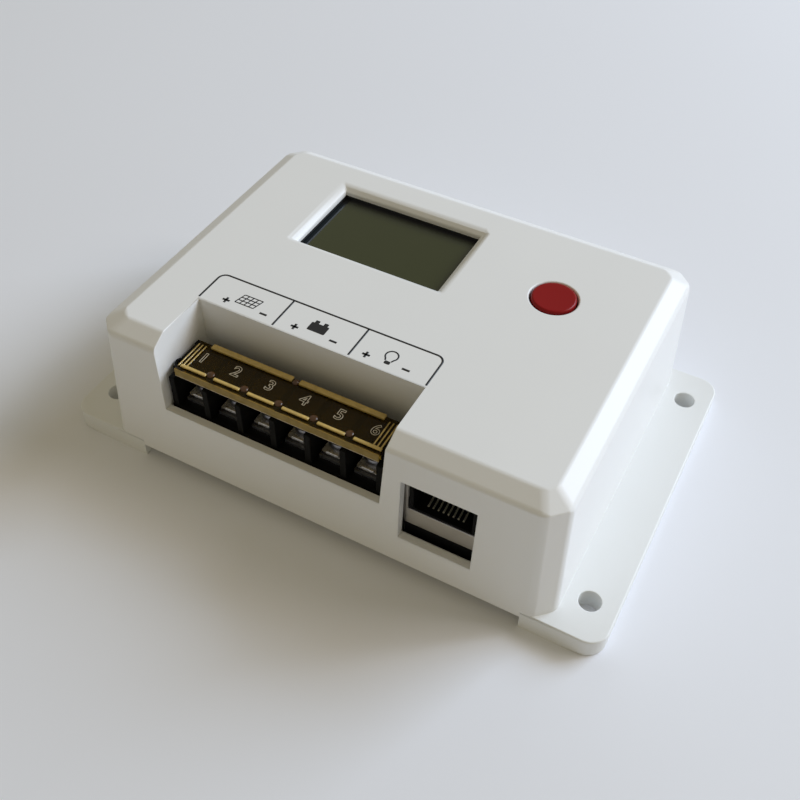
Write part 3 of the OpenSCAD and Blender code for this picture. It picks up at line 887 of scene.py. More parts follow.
class Outside:
    """Tells which faces can be seen from outside the whole object."""

    _tree: BVHTree | None = None

    @classmethod
    def tree(cls) -> BVHTree:
        """A search tree of every node of the frame, made once.

        Returns:
            The tree, in millimetres.
        """
        if cls._tree is None:
            points: list[Vector] = []
            faces: list[list[int]] = []
            for node in frame["nodes"].values():
                start = len(points)
                points.extend(v.co / MM for v in node.data.vertices)
                faces.extend([start + i for i in p.vertices] for p in node.data.polygons)
            cls._tree = BVHTree.FromPolygons(points, faces)
        return cls._tree

    @classmethod
    def faces(
        cls, mesh: bmesh.types.BMesh, samples: int = 6, lift: float = 0.06, slant: float = 0.05
    ) -> set[int]:
        """The faces that some straight line reaches from far away.

        Args:
            mesh: A mesh in millimetres, with its indices up to date.
            samples: Largest triangles that are tried on a face.
            lift: How far off the face a line starts, in millimetres.
            slant: The least share of a line's length along the face's normal.

        Returns:
            The faces' indices.
        """
        fan = ray_fan()
        tries: dict[int, list[tuple[float, Vector, Vector]]] = {}
        for loops in mesh.calc_loop_triangles():
            a, b, c = (loop.vert.co for loop in loops)
            face = loops[0].face
            area = (b - a).cross(c - a).length
            tries.setdefault(face.index, []).append((area, (a + b + c) / 3, face.normal.copy()))
        seen = set()
        for index, spots in tries.items():
            spots.sort(key=lambda spot: -spot[0])
            for _, spot, normal in spots[:samples]:
                start = spot + normal * lift
                if any(d.dot(normal) > slant and cls.tree().ray_cast(start, d)[0] is None for d in fan):
                    seen.add(index)
                    break
        return seen


def refined_copy(
    node: str,
    name: str,
    finish: Any,
    radius: float,
    weight: Callable[[Vector, Vector], float] = lambda middle, along: 1.0,
    segments: int = 3,
) -> bpy.types.Object:
    """Copies a node's shape and rounds the edges that show.

    Args:
        node: The node of the frame.
        name: The new object's name.
        finish: Its finish or Slot.
        radius: The widest rounding, in millimetres.
        weight: Gives an edge's share of it from its middle and direction, in millimetres.
        segments: Faces across a rounding.

    Returns:
        The object, as a plain mesh.
    """
    work = bmesh.new()
    work.from_mesh(frame["nodes"][node].data)
    bmesh.ops.scale(work, vec=(1 / MM, 1 / MM, 1 / MM), verts=work.verts)
    bmesh.ops.remove_doubles(work, verts=work.verts, dist=MERGE)
    bmesh.ops.dissolve_degenerate(work, dist=SPECK, edges=work.edges)
    bmesh.ops.dissolve_limit(
        work, angle_limit=FLAT_BEND, verts=work.verts, edges=work.edges, use_dissolve_boundaries=False
    )
    work.faces.index_update()
    work.verts.index_update()
    work.normal_update()
    seen = Outside.faces(work)
    weights = []
    for edge in work.edges:
        shows = len(edge.link_faces) == 2 and all(f.index in seen for f in edge.link_faces)
        sharp = shows and edge.is_convex and edge.calc_face_angle(0.0) > ROUND_BEND
        middle = (edge.verts[0].co + edge.verts[1].co) / 2
        along = (edge.verts[1].co - edge.verts[0].co).normalized()
        weights.append(weight(middle, along) if sharp else 0.0)
    mesh = bpy.data.meshes.new(name)
    pairs = [tuple(v.index for v in e.verts) for e in work.edges]
    corners = [[v.index for v in f.verts] for f in work.faces]
    mesh.from_pydata([v.co * MM for v in work.verts], [], corners)
    work.free()
    shares = {frozenset(pair): share for pair, share in zip(pairs, weights)}
    layer = mesh.attributes.new("bevel_weight_edge", "FLOAT", "EDGE")
    for edge, item in zip(mesh.edges, layer.data):
        item.value = shares[frozenset(edge.vertices)]
    obj = linked(name, mesh, finish)
    mesh.shade_smooth()
    mesh.set_sharp_from_angle(angle=CREASE_BEND)
    return softened(obj, radius, segments, weighted=True)


def placed(obj: bpy.types.Object, body: str, slot: Slot, *nodes: str) -> None:
    """Hands a finished piece to the frame.

    Args:
        obj: The piece.
        body: The body that it rides on.
        slot: The record's slot that its finish comes from. It is not used.
        nodes: The nodes that it stands for.
    """
    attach(obj, body)
    if nodes:
        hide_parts(*nodes)
    log.info("%s rides on %s, %d faces", obj.name, body, len(obj.data.polygons))


# --------------------------------------------------------------------------- geometry nodes


class GeometrySheet(NodeSheet):
    """A geometry node tree while it is drawn up."""

    def __init__(self, name: str, inputs: Mapping[str, str]) -> None:
        """Starts a tree that takes a mesh, a finish and named inputs.

        Args:
            name: The tree's name.
            inputs: Each named input's socket type.
        """
        super().__init__(bpy.data.node_groups.new(name, "GeometryNodeTree"))
        face = self.tree.interface
        face.new_socket("Geometry", in_out="INPUT", socket_type="NodeSocketGeometry")
        self.keys = {
            label: face.new_socket(label, in_out="INPUT", socket_type=kind).identifier
            for label, kind in {**inputs, "Finish": "NodeSocketMaterial"}.items()
        }
        face.new_socket("Geometry", in_out="OUTPUT", socket_type="NodeSocketGeometry")
        self.start = self.tree.nodes.new("NodeGroupInput")

    def given(self, label: str) -> Signal:
        """What the tree gets at one of its inputs."""
        return Signal(self, self.start.outputs[label])

    def finish(self, geometry: Signal) -> None:
        """Ends the tree with real geometry in the chosen material.

        Args:
            geometry: What the tree has made.
        """
        real = self.node("GeometryNodeRealizeInstances", {}, {"Geometry": geometry})
        dressing = {"Geometry": real, "Material": self.given("Finish")}
        painted = self.node("GeometryNodeSetMaterial", {}, dressing)
        end = self.tree.nodes.new("NodeGroupOutput")
        self.tree.links.new(painted.socket, end.inputs["Geometry"])

    def grow(self, host: bpy.types.Object, finish: Any, values: Mapping[str, Any]) -> bpy.types.Object:
        """Runs the tree on an object and keeps the result as plain mesh.

        Args:
            host: The object whose mesh goes in.
            finish: The result's finish or Slot.
            values: A value for each named input.

        Returns:
            The same object.
        """
        modifier = host.modifiers.new(self.tree.name, "NODES")
        modifier.node_group = self.tree
        for label, value in {**values, "Finish": Finishes.of(finish)}.items():
            modifier[self.keys[label]] = value
        return settled(host)


class RowOfPieces:
    """Repeats one piece at even steps along a straight row."""

    def __init__(self) -> None:
        """Draws up the tree."""
        inputs = {"Count": "NodeSocketInt", "Step": "NodeSocketVector"}
        self.sheet = GeometrySheet("row_of_pieces", inputs)
        given = self.sheet.given
        places = {"Count": given("Count"), "Offset": given("Step")}
        row = self.sheet.node("GeometryNodeMeshLine", {"mode": "OFFSET"}, places)
        pieces = {"Points": row, "Instance": given("Geometry")}
        self.sheet.finish(self.sheet.node("GeometryNodeInstanceOnPoints", {}, pieces))

    def of(self, piece: bpy.types.Object, count: int, step: Point, finish: Any) -> bpy.types.Object:
        """Turns a piece into a row that starts where it stands, with a step in millimetres."""
        return self.sheet.grow(piece, finish, {"Count": count, "Step": Vector(step) * MM})


class ScrewThread:
    """Winds a rounded ridge round a shank."""

    turn_steps: int = 24
    ridge_steps: int = 6
    ridge_share: float = 0.3
    crease: float = 60.0

    def __init__(self) -> None:
        """Draws up the tree."""
        inputs = {label: "NodeSocketFloat" for label in ("Radius", "Turns", "Height", "Ridge")}
        self.sheet = GeometrySheet("screw_thread", inputs)
        given = self.sheet.given
        spiral = {
            "Resolution": self.turn_steps,
            "Rotations": given("Turns"),
            "Start Radius": given("Radius"),
            "End Radius": given("Radius"),
            "Height": given("Height"),
        }
        helix = self.sheet.node("GeometryNodeCurveSpiral", {}, spiral)
        round_section = {"Resolution": self.ridge_steps, "Radius": given("Ridge")}
        ridge = self.sheet.node("GeometryNodeCurvePrimitiveCircle", {"mode": "RADIUS"}, round_section)
        sweep = {"Curve": helix, "Profile Curve": ridge, "Fill Caps": True}
        wound = self.sheet.node("GeometryNodeCurveToMesh", {}, sweep)
        at_host = {"Points": given("Geometry"), "Instance": wound}
        self.sheet.finish(self.sheet.node("GeometryNodeInstanceOnPoints", {}, at_host))

    def round(
        self, name: str, foot: Point, radius: float, height: float, pitch: float, finish: Any
    ) -> bpy.types.Object:
        """Makes a thread that climbs from a point.

        Args:
            name: The object's name.
            foot: Where the screw's axis starts, in millimetres.
            radius: The thread's radius.
            height: How far it climbs.
            pitch: How far it climbs in one turn.
            finish: Its finish or Slot.

        Returns:
            The thread, as a plain mesh.
        """
        mesh = bpy.data.meshes.new(name)
        mesh.from_pydata([Vector(foot) * MM], [], [])
        values = {
            "Radius": radius * MM,
            "Turns": height / pitch,
            "Height": height * MM,
            "Ridge": self.ridge_share * pitch * MM,
        }
        return smoothed(self.sheet.grow(linked(name, mesh, finish), finish, values), self.crease)


class PrintedLine:
    """Lays a thin flat ribbon of ink along a path of straight stretches."""

    def __init__(self) -> None:
        """Draws up the tree."""
        inputs = {"Width": "NodeSocketFloat", "Thickness": "NodeSocketFloat"}
        self.sheet = GeometrySheet("printed_line", inputs)
        given = self.sheet.given
        path = self.sheet.node("GeometryNodeMeshToCurve", {}, {"Mesh": given("Geometry")})
        upright = self.sheet.node("GeometryNodeSetCurveNormal", {"mode": "Z_UP"}, {"Curve": path})
        sizes = {"Width": given("Width"), "Height": given("Thickness")}
        section = self.sheet.node("GeometryNodeCurvePrimitiveQuadrilateral", {"mode": "RECTANGLE"}, sizes)
        sweep = {"Curve": upright, "Profile Curve": section, "Fill Caps": True}
        self.sheet.finish(self.sheet.node("GeometryNodeCurveToMesh", {}, sweep))

    def along(self, name: str, path: Sequence[Flat], level: float, width: float) -> bpy.types.Object:
        """Makes one line of ink.

        Args:
            name: The object's name.
            path: The line's points.
            level: The height of the printed face.
            width: The line's width.

        Returns:
            The line, as a plain mesh.
        """
        mesh = bpy.data.meshes.new(name)
        edges = [(i, i + 1) for i in range(len(path) - 1)]
        mesh.from_pydata([Vector((x, y, level)) * MM for x, y in path], edges, [])
        values = {"Width": width * MM, "Thickness": INK * MM}
        return self.sheet.grow(linked(name, mesh, MARK_INK), MARK_INK, values)


def joined(name: str, pieces: Sequence[bpy.types.Object]) -> bpy.types.Object:
    """Makes one object of several that share a material.

    Args:
        name: The new object's name.
        pieces: The objects, which are used up.

    Returns:
        The object.
    """
    whole = bmesh.new()
    for piece in pieces:
        whole.from_mesh(piece.data)
    mesh = bpy.data.meshes.new(name)
    whole.to_mesh(mesh)
    whole.free()
    mesh.materials.append(pieces[0].data.materials[0])
    for piece in pieces:
        bpy.data.objects.remove(piece)
    return in_scene(name, mesh)


# --------------------------------------------------------------------------- case


@dataclass
class Case:
    """Top cover and base plate, with the roundings of moulded parts."""

    roof_edge: float = 1.0
    corner_share: float = 0.95
    rim_share: float = 0.45
    fine_share: float = 0.22
    button_share: float = 0.42
    window_share: float = 0.68
    window_rim: float = 4.0
    button_rim: float = 5.4
    base_edge: float = 0.35
    foot_d: float = 19.0
    foot_top: float = 3.6
    hole_x: float = 54.5
    hole_y: float = 29.0
    hole_rim: float = 2.6
    hole_share: float = 0.55
    chamfer_h: float = 2.1
    wall_reach: float = 2.2
    corner_reach: float = 4.0
    roof_reach: float = 6.5
    level_slack: float = 0.3
    roof_slack: float = 0.2
    foot_reach: float = 5.0
    upright: float = 0.3

    def cover_weight(self, middle: Vector, along: Vector) -> float:
        """How round an edge of the cover is.

        Args:
            middle: The edge's middle, in millimetres.
            along: Its direction.

        Returns:
            Its share of the widest rounding.
        """
        cover = Box.of("top_cover")
        chamfer_z = cover.high.z - self.chamfer_h
        inset = [cover.high[i] - abs(middle[i]) for i in (0, 1)]
        at_chamfer = abs(middle.z - chamfer_z) < self.level_slack
        if at_chamfer and min(inset) < self.wall_reach and abs(along.z) < self.upright:
            return 1.0
        if max(inset) < self.wall_reach + self.corner_reach and abs(along.z) > self.upright:
            return self.corner_share
        on_roof = middle.z > cover.high.z - self.roof_slack
        if on_roof and min(inset) < self.roof_reach:
            return self.rim_share
        film = Box.of("front_polariser")
        beside = max(abs(middle[i] - film.middle[i]) - film.size[i] / 2 for i in (0, 1))
        if on_roof and beside < self.window_rim:
            return self.window_share
        button = Box.of("button_cap").middle
        near_button = math.hypot(middle.x - button.x, middle.y - button.y) < self.button_rim
        return self.button_share if near_button else self.fine_share

    def base_weight(self, middle: Vector, along: Vector) -> float:
        """How round an edge of the base is: only the feet's upper and outer edges and hole rims are.

        Args:
            middle: The edge's middle, in millimetres.
            along: Its direction. It is not used.

        Returns:
            Its share of the rounding.
        """
        foot = Box.of("base_plate")
        beside = abs(middle.x) > foot.high.x - self.foot_d
        above = middle.z > self.foot_top
        from_hole = math.hypot(abs(middle.x) - self.hole_x, abs(middle.y) - self.hole_y)
        if from_hole < self.hole_rim:
            return self.hole_share if above else 0.0
        outer = abs(middle.x) > foot.high.x - self.foot_reach
        return 1.0 if beside and (above or outer) else 0.0

    def build(self) -> None:
        """Makes both shells."""
        cover = refined_copy("top_cover", "cover_shell", Slot.CASE, self.roof_edge, self.cover_weight)
        placed(cover, CASE_BODY, Slot.CASE, "top_cover")
        base = refined_copy("base_plate", "base_shell", Slot.BASE, self.base_edge, self.base_weight)
        placed(base, CASE_BODY, Slot.BASE, "base_plate")


@dataclass
class Marks:
    """Printed frame over the terminals, with three compartments, signs and plain pictograms."""

    line: float = 0.42
    sign: float = 1.6
    sign_line: float = 0.5
    frame_left: float = -34.5
    frame_right: float = 15.2
    frame_back: float = -12.7
    frame_front: float = -20.7
    corner: float = 1.6
    dividers: tuple[float, ...] = (-17.6, -0.95)
    plus_xs: tuple[float, ...] = (-29.3, -13.65, 1.9)
    minus_xs: tuple[float, ...] = (-20.75, -5.2, 10.2)
    signs_y: float = -19.0
    icon_xs: tuple[float, ...] = (-25.1, -9.5, 6.3)
    icon_y: float = -17.3
    lines: PrintedLine = field(default_factory=PrintedLine)

    def stroke(self, path: Sequence[Flat], width: float) -> bpy.types.Object:
        """One line of ink on the top face."""
        return self.lines.along("ink", path, Box.of("top_cover").high.z, width)

    def patch(self, outline: Sequence[Flat]) -> bpy.types.Object:
        """One filled area of ink on the top face."""
        level = Box.of("top_cover").high.z
        return Form().prism(outline, level - INK / 2, level + INK / 2).object("ink", MARK_INK)

    def frame_lines(self) -> list[bpy.types.Object]:
        """The frame's outline and its two dividers.

        Returns:
            The lines of ink.
        """
        c, steps = self.corner, 5
        outline = [
            (self.frame_left, self.frame_front),
            (self.frame_left, self.frame_back - c),
            *arc((self.frame_left + c, self.frame_back - c), c, 180, 90, steps),
            *arc((self.frame_right - c, self.frame_back - c), c, 90, 0, steps),
            (self.frame_right, self.frame_front),
        ]
        edges = [[(x, self.frame_back), (x, self.frame_front)] for x in self.dividers]
        return [self.stroke(path, self.line) for path in [outline, *edges]]

    def signs(self) -> list[bpy.types.Object]:
        """Plus and minus signs.

        Returns:
            The lines of ink.
        """
        half = self.sign / 2
        y = self.signs_y
        level = [[(x - half, y), (x + half, y)] for x in (*self.plus_xs, *self.minus_xs)]
        upright = [[(x, y - half), (x, y + half)] for x in self.plus_xs]
        return [self.stroke(path, self.sign_line) for path in [*level, *upright]]

    def panel(self, x: float, y: float) -> list[bpy.types.Object]:
        """Pictogram of a tilted panel with its grid.

        Args:
            x: Its middle's X.
            y: Its middle's Y.

        Returns:
            The lines of ink.
        """
        w, h, lean, thin = 4.2, 2.6, 0.7, 0.24
        high, wide = 3, 4

        def at(u: float, v: float) -> Flat:
            """A point of the panel from shares of its width and height."""
            return (x + (u - 0.5) * w + (v - 0.5) * lean, y + (v - 0.5) * h)

        rows = [[at(0, k / high), at(1, k / high)] for k in range(high + 1)]
        columns = [[at(k / wide, 0), at(k / wide, 1)] for k in range(wide + 1)]
        return [self.stroke(path, thin) for path in [*rows, *columns]]

    def battery(self, x: float, y: float) -> list[bpy.types.Object]:
        """Pictogram of a battery with two posts.

        Args:
            x: Its body's middle X.
            y: Its body's middle Y.

        Returns:
            The patches of ink.
        """
        w, h, body_r = 3.8, 2.3, 0.25
        post_w, post_h, post_r = 0.9, 0.75, 0.1
        top = y + h / 2
        body = round_box((x - w / 2, y - h / 2), (x + w / 2, top), body_r, 3)
        lefts = [x + side * w / 4 - post_w / 2 for side in (-1, 1)]
        posts = [round_box((left, top), (left + post_w, top + post_h), post_r, 2) for left in lefts]
        return [self.patch(outline) for outline in [body, *posts]]

    def bulb(self, x: float, y: float) -> list[bpy.types.Object]:
        """Pictogram of a lamp with its cap.

        Args:
            x: Its bulb's middle X.
            y: Its bulb's middle Y, less a small rise.

        Returns:
            The outline and the patch of ink.
        """
        r, rise, neck, thin = 1.25, 0.25, 0.6, 0.32
        cap_h, cap_r = 0.85, 0.25
        glass = [(x - neck, y - r), *arc((x, y + rise), r, 225, -45, 22), (x + neck, y - r)]
        cap = round_box((x - neck, y - r - cap_h), (x + neck, y - r), cap_r, 3)
        return [self.stroke(glass, thin), self.patch(cap)]

    def build(self) -> None:
        """Makes all the marks as one film of ink."""
        icons = zip((self.panel, self.battery, self.bulb), self.icon_xs)
        pieces = [*self.frame_lines(), *self.signs()]
        for draw, x in icons:
            pieces.extend(draw(x, self.icon_y))
        placed(joined("cover_marks", pieces), CASE_BODY, Slot.BLACK)


# --------------------------------------------------------------------------- display and button


@dataclass
class Display:
    """Front film of the liquid crystal cell, with its left edge inside the window."""

    film_edge_in: float = 3.3
    corner: float = 0.4
    edge: float = 0.06

    def build(self) -> None:
        """Makes the film."""
        film = Box.of("front_polariser")
        low = (film.low.x + self.film_edge_in, film.low.y)
        outline = round_box(low, (film.high.x, film.high.y), self.corner)
        sheet = Form().prism(outline, film.low.z, film.high.z)
        face = softened(sheet.object("display_face", Slot.FILM), self.edge, 2)
        placed(face, CASE_BODY, Slot.FILM, "front_polariser")


@dataclass
class PushButton:
    """Red cap with a rounded rim and a very slightly dished face."""

    rim: float = 0.5
    dish: float = 0.06
    face_shares: tuple[float, ...] = (0.96, 0.85, 0.65, 0.4, 0.2)
    stem_r: float = 2.2
    collar_w: float = 0.95
    collar_h: float = 1.2
    collar_below: float = 2.3

    def build(self) -> None:
        """Makes the cap."""
        cap = Box.of("button_cap")
        centre = (cap.middle.x, cap.middle.y)
        collar_r = cap.size.x / 2
        cap_r = collar_r - self.collar_w
        collar_top = Box.of("top_cover").high.z - self.collar_below
        top = cap.high.z
        face_r = cap_r - self.rim
        rim = [(face_r + u, top - self.rim + v) for u, v in arc((0, 0), self.rim, 0, 90, 8)]
        face = [(share * face_r, top - self.dish * (1 - share**2)) for share in self.face_shares]
        profile = [
            (0, cap.low.z),
            (self.stem_r, cap.low.z),
            (self.stem_r, collar_top - self.collar_h),
            (collar_r, collar_top - self.collar_h),
            (collar_r, collar_top),
            (cap_r, collar_top),
            *rim,
            *face,
            (0, top - self.dish),
        ]
        piece = smoothed(Form().lathe(profile, centre).object("button_top", Slot.RED))
        placed(piece, "button", Slot.RED, "button_cap")


# --------------------------------------------------------------------------- terminals


@dataclass
class TerminalRow:
    """Black barrier block with its screws and wire saddles.

    The crown lists points of a screw's dome: the share of its radius, and how far down the dome it lies.
    """

    edge: float = 0.14
    head_r: float = 2.45
    head_h: float = 1.9
    rim: float = 0.3
    rim_step: float = 0.1
    dome: float = 0.35
    crown: tuple[Flat, ...] = ((0.6, 0.35), (0.3, 0.08))
    shank_r: float = 1.2
    tip: float = 0.4
    thread_pitch: float = 0.7
    slot_w: float = 0.75
    slot_depth: float = 0.9
    cross_l: float = 3.0
    overshoot: float = 1.0
    plate_t: float = 0.8
    plate_r: float = 0.5
    plate_in: float = 0.05
    ear_w: float = 2.7
    ear_t: float = 0.6
    ear_sink: float = 0.3
    saddle_edge: float = 0.15
    thread: ScrewThread = field(default_factory=ScrewThread)

    def screw(self, way: int) -> None:
        """Makes a screw with a combined slot and cross.

        Args:
            way: The terminal's number, from 1.
        """
        node = f"terminal_screw_{way}"
        box = Box.of(node)
        centre = (box.middle.x, box.middle.y)
        top, foot = box.high.z, box.low.z
        plate_top = top - self.head_h
        shoulder = top - self.dome
        profile = [
            (0, foot),
            (self.shank_r - self.tip, foot),
            (self.shank_r, foot + self.tip),
            (self.shank_r, plate_top),
            (self.head_r, plate_top),
            (self.head_r, shoulder - self.rim),
            (self.head_r - self.rim_step, shoulder - self.rim_step),
            (self.head_r - self.rim, shoulder),
            *((self.head_r * share, top - self.dome * down) for share, down in self.crown),
            (0, top),
        ]
        body = Form().lathe(profile, centre, 48).object(node + "_turned", SCREW)
        long_slot = (self.head_r + self.overshoot, self.slot_w / 2)
        short_slot = (self.slot_w / 2, self.cross_l / 2)
        for half in (long_slot, short_slot):
            low = (centre[0] - half[0], centre[1] - half[1], top - self.slot_depth)
            high = (centre[0] + half[0], centre[1] + half[1], top + self.overshoot)
            cutter = Form().block(low, high).object("cutter", Slot.ZINC)
            cut = body.modifiers.new("slot", "BOOLEAN")
            cut.operation = "DIFFERENCE"
            cut.solver = "EXACT"
            cut.object = cutter
            settled(body)
            bpy.data.objects.remove(cutter)
        smoothed(body)
        start = foot + self.tip
        climb = Box.of(f"terminal_clamp_{way}").low.z - start
        ridge = self.thread.round("thread", (*centre, start), self.shank_r, climb, self.thread_pitch, SCREW)
        placed(joined(f"screw_{way}", [body, ridge]), f"terminal_{way}", Slot.ZINC, node)

    def saddle(self, way: int) -> None:
        """Makes a wire saddle: a plate with a narrow ear turned up in front.

        Args:
            way: The terminal's number, from 1.
        """
        node = f"terminal_clamp_{way}"
        box = Box.of(node)
        plate_top = box.low.z + self.plate_t
        front = (box.low.x, box.low.y + self.plate_in)
        outline = round_box(front, (box.high.x, box.high.y), self.plate_r, 4)
        plate = Form().prism(outline, box.low.z, plate_top)
        left = (box.middle.x - self.ear_w / 2, box.low.y, plate_top - self.ear_sink)
        right = (box.middle.x + self.ear_w / 2, box.low.y + self.ear_t, box.high.z)
        plate.block(left, right)
        piece = softened(plate.object(f"saddle_{way}", SADDLE), self.saddle_edge)
        placed(piece, f"terminal_{way}", Slot.TINNED, node)

    def build(self) -> None:
        """Makes the block, the screws and the saddles."""
        block = refined_copy("terminal_block", "barrier_block", Slot.BLACK, self.edge, segments=2)
        placed(block, CASE_BODY, Slot.BLACK, "terminal_block")
        for way in range(1, WAYS + 1):
            self.screw(way)
            self.saddle(way)


@dataclass
class AmberStrip:
    """Clear strip on the barriers, with softened ribs, raised digits and its pegs' round heads."""

    edge: float = 0.16
    plate_t: float = 0.8
    digit_h: float = 2.7
    type_scale: float = 1.35
    digit_line: float = 0.065
    digit_stroke: float = 0.05
    digits_back: float = 0.55
    stud_r: float = 0.85
    stud_h: float = 0.35
    stud_y: float = -31.9
    stud_sink: float = 0.1
    lug_r: float = 0.75
    lug_h: float = 0.6
    lug_gap: float = 0.1
    row: RowOfPieces = field(default_factory=RowOfPieces)

    def digit(self, way: int, level: float, y: float) -> bpy.types.Object:
        """A digit on the strip, moulded as a fine raised outline.

        Args:
            way: The terminal's number, from 1.
            level: The height of the strip's top face.
            y: The digit's middle.

        Returns:
            The digit.
        """
        text = bpy.data.curves.new("digit", "FONT")
        text.body = str(way)
        text.align_x = "CENTER"
        text.align_y = "CENTER"
        text.size = self.digit_h * self.type_scale * MM
        text.fill_mode = "NONE"
        text.offset = self.digit_stroke * MM
        text.bevel_depth = self.digit_line * MM
        text.resolution_u = 5
        typed = in_scene("digit", text)
        mesh = evaluated(typed)
        bpy.data.objects.remove(typed)
        x = Box.of(f"terminal_screw_{way}").middle.x
        mesh.transform(Matrix.Translation(Vector((x, y, level + self.digit_line / 2)) * MM))
        solid = bmesh.new()
        solid.from_mesh(mesh)
        bmesh.ops.remove_doubles(solid, verts=solid.verts, dist=TOUCH * MM)
        bmesh.ops.recalc_face_normals(solid, faces=solid.faces)
        solid.to_mesh(mesh)
        solid.free()
        # Its pale finish is a painted highlight.
        return linked("digit", mesh, DIGIT_HIGHLIGHT)

    def studs(self, level: float) -> None:
        """Makes the pegs' round heads on the strip, and the lug between its back ridges.

        Args:
            level: The height of the strip's top face.
        """
        first, second = (Box.of(f"terminal_screw_{way}").middle for way in (1, 2))
        step = second.x - first.x
        bottom = level - self.stud_sink

        def dome(radius: float, height: float, centre: Flat) -> Form:
            """A low round head.

            Args:
                radius: Its radius.
                height: How far it stands above the strip.
                centre: Its axis's place.

            Returns:
                The form.
            """
            turns = [math.radians(a) for a in range(0, 90, 15)]
            side = [(radius * math.cos(a), level + height * math.sin(a)) for a in turns]
            return Form().lathe([(0, bottom), (radius, bottom), *side, (0, level + height)], centre, 32)

        heads = dome(self.stud_r, self.stud_h, (first.x + step / 2, self.stud_y)).object("heads", STUD)
        self.row.of(heads, WAYS - 1, (step, 0, 0), STUD)
        strip = Box.of("terminal_cover")
        middle = (strip.middle.x, strip.high.y - self.lug_r - self.lug_gap)
        lug = dome(self.lug_r, self.lug_h, middle).object("lug", STUD)
        placed(smoothed(joined("strip_studs", [heads, lug])), "strip", Slot.AMBER)

    def build(self) -> None:
        """Makes the strip, its digits and its studs."""
        strip = refined_copy("terminal_cover", "amber_strip", Slot.AMBER, self.edge, segments=3)
        placed(strip, "strip", Slot.AMBER, "terminal_cover")
        level = Box.of("terminal_block").high.z + self.plate_t
        y = Box.of("terminal_cover").middle.y + self.digits_back
        digits = [self.digit(way, level, y) for way in range(1, WAYS + 1)]
        placed(joined("strip_digits", digits), "strip", Slot.AMBER)
        self.studs(level)


# --------------------------------------------------------------------------- data socket


@dataclass
class DataSocket:
    """Shielded socket with side springs and eight sprung wires.

    A wire starts wire_front behind the front and above the foot of the contacts' box, runs through
    wire_bends, measured likewise, and ends wire_back before its back and below its top.
    """

    shell_edge: float = 0.12
    spring_z: float = 9.0
    spring_h: float = 3.4
    spring_l: float = 3.0
    spring_t: float = 0.18
    spring_bow: float = 0.5
    spring_gap: float = 0.9
    spring_in: float = 0.17
    foot_h: float = 3.5
    foot_out: float = 0.3
    foot_gap: float = 0.02
    foot_edge: float = 0.1
    contacts: int = 8
    pitch: float = 1.016
    wire_w: float = 0.36
    wire_t: float = 0.34
    wire_edge: float = 0.08
    wire_front: Flat = (0.15, 0.1)
    wire_bends: tuple[Flat, ...] = ((1.2, 0.18), (5.0, 1.3))
    wire_back: Flat = (0.1, 0.25)
    row: RowOfPieces = field(default_factory=RowOfPieces)

    def wires(self) -> None:
        """Makes the eight wires as a row of one bent wire."""
        box = Box.of("socket_contacts")
        line = [(box.low.y + y, box.low.z + z) for y, z in (self.wire_front, *self.wire_bends)]
        line.append((box.high.y - self.wire_back[0], box.high.z - self.wire_back[1]))
        under = [(y, z - self.wire_t / 2) for y, z in line]
        over = [(y, z + self.wire_t / 2) for y, z in reversed(line)]
        form = Form().prism([*under, *over], box.low.x, box.low.x + self.wire_w, axis=0)
        wire = softened(form.object("socket_wires", Slot.GOLD), self.wire_edge, 2)
        self.row.of(wire, self.contacts, (self.pitch, 0, 0), Slot.GOLD)
        placed(wire, CASE_BODY, Slot.GOLD, "socket_contacts")

    def springs(self) -> None:
        """Makes the leaf springs inside the shield's sides."""
        shield = Box.of("socket_shield")
        low = Box.of("socket_housing").low.z + self.spring_z - self.spring_h / 2
        front = shield.low.y + self.spring_in
        steps = 8
        shares = [k / steps for k in range(steps + 1)]
        pieces = []
        for side in (-1, 1):
            edge = shield.middle.x + side * (shield.size.x / 2 - self.spring_gap)
            bows = [self.spring_bow * math.sin(math.pi * share) for share in shares]
            face = [(edge - side * bow, front + self.spring_l * share) for bow, share in zip(bows, shares)]
            back = [(x + side * self.spring_t, y) for x, y in reversed(face)]
            leaf = Form().prism([*face, *back], low, low + self.spring_h)
            pieces.append(smoothed(leaf.object("leaf", Slot.NICKEL)))
        placed(joined("socket_springs", pieces), CASE_BODY, Slot.NICKEL)

    def build(self) -> None:
        """Makes the shield, the housing with a black sheet of painted shade below its front, the springs
        and the wires.
        """
        can = refined_copy("socket_shield", "socket_can", Slot.NICKEL, self.shell_edge, segments=2)
        placed(can, CASE_BODY, Slot.NICKEL, "socket_shield")
        shell = refined_copy("socket_housing", "socket_shell", Slot.BLACK, self.shell_edge, segments=2)
        # Painted shade: a thin black sheet below the housing's front stands in for the dark inside of the
        # case seen under the socket.
        box = Box.of("socket_housing")
        low = (box.low.x, box.low.y - self.foot_out, box.low.z - self.foot_h)
        block = Form().block(low, (box.high.x, box.low.y, box.low.z - self.foot_gap))
        foot = softened(block.object("foot", Slot.BLACK), self.foot_edge, 2)
        insert = joined("socket_insert", [shell, foot])
        placed(insert, CASE_BODY, Slot.BLACK, "socket_housing")
        self.springs()
        self.wires()


# --------------------------------------------------------------------------- the rest of the nodes


class Dressing:
    """Gives every node that keeps its own shape the finish of its slot."""

    def build(self) -> None:
        """Dresses the nodes."""
        slots = {part["node"]: Slot(part["material_slot"]) for part in frame["record"]["subparts"]}
        for name, node in frame["nodes"].items():
            node.data.materials.clear()
            node.data.materials.append(Finishes.of(slots[name]))
            log.info("%s is dressed in %s", name, slots[name].value)


# --------------------------------------------------------------------------- studio


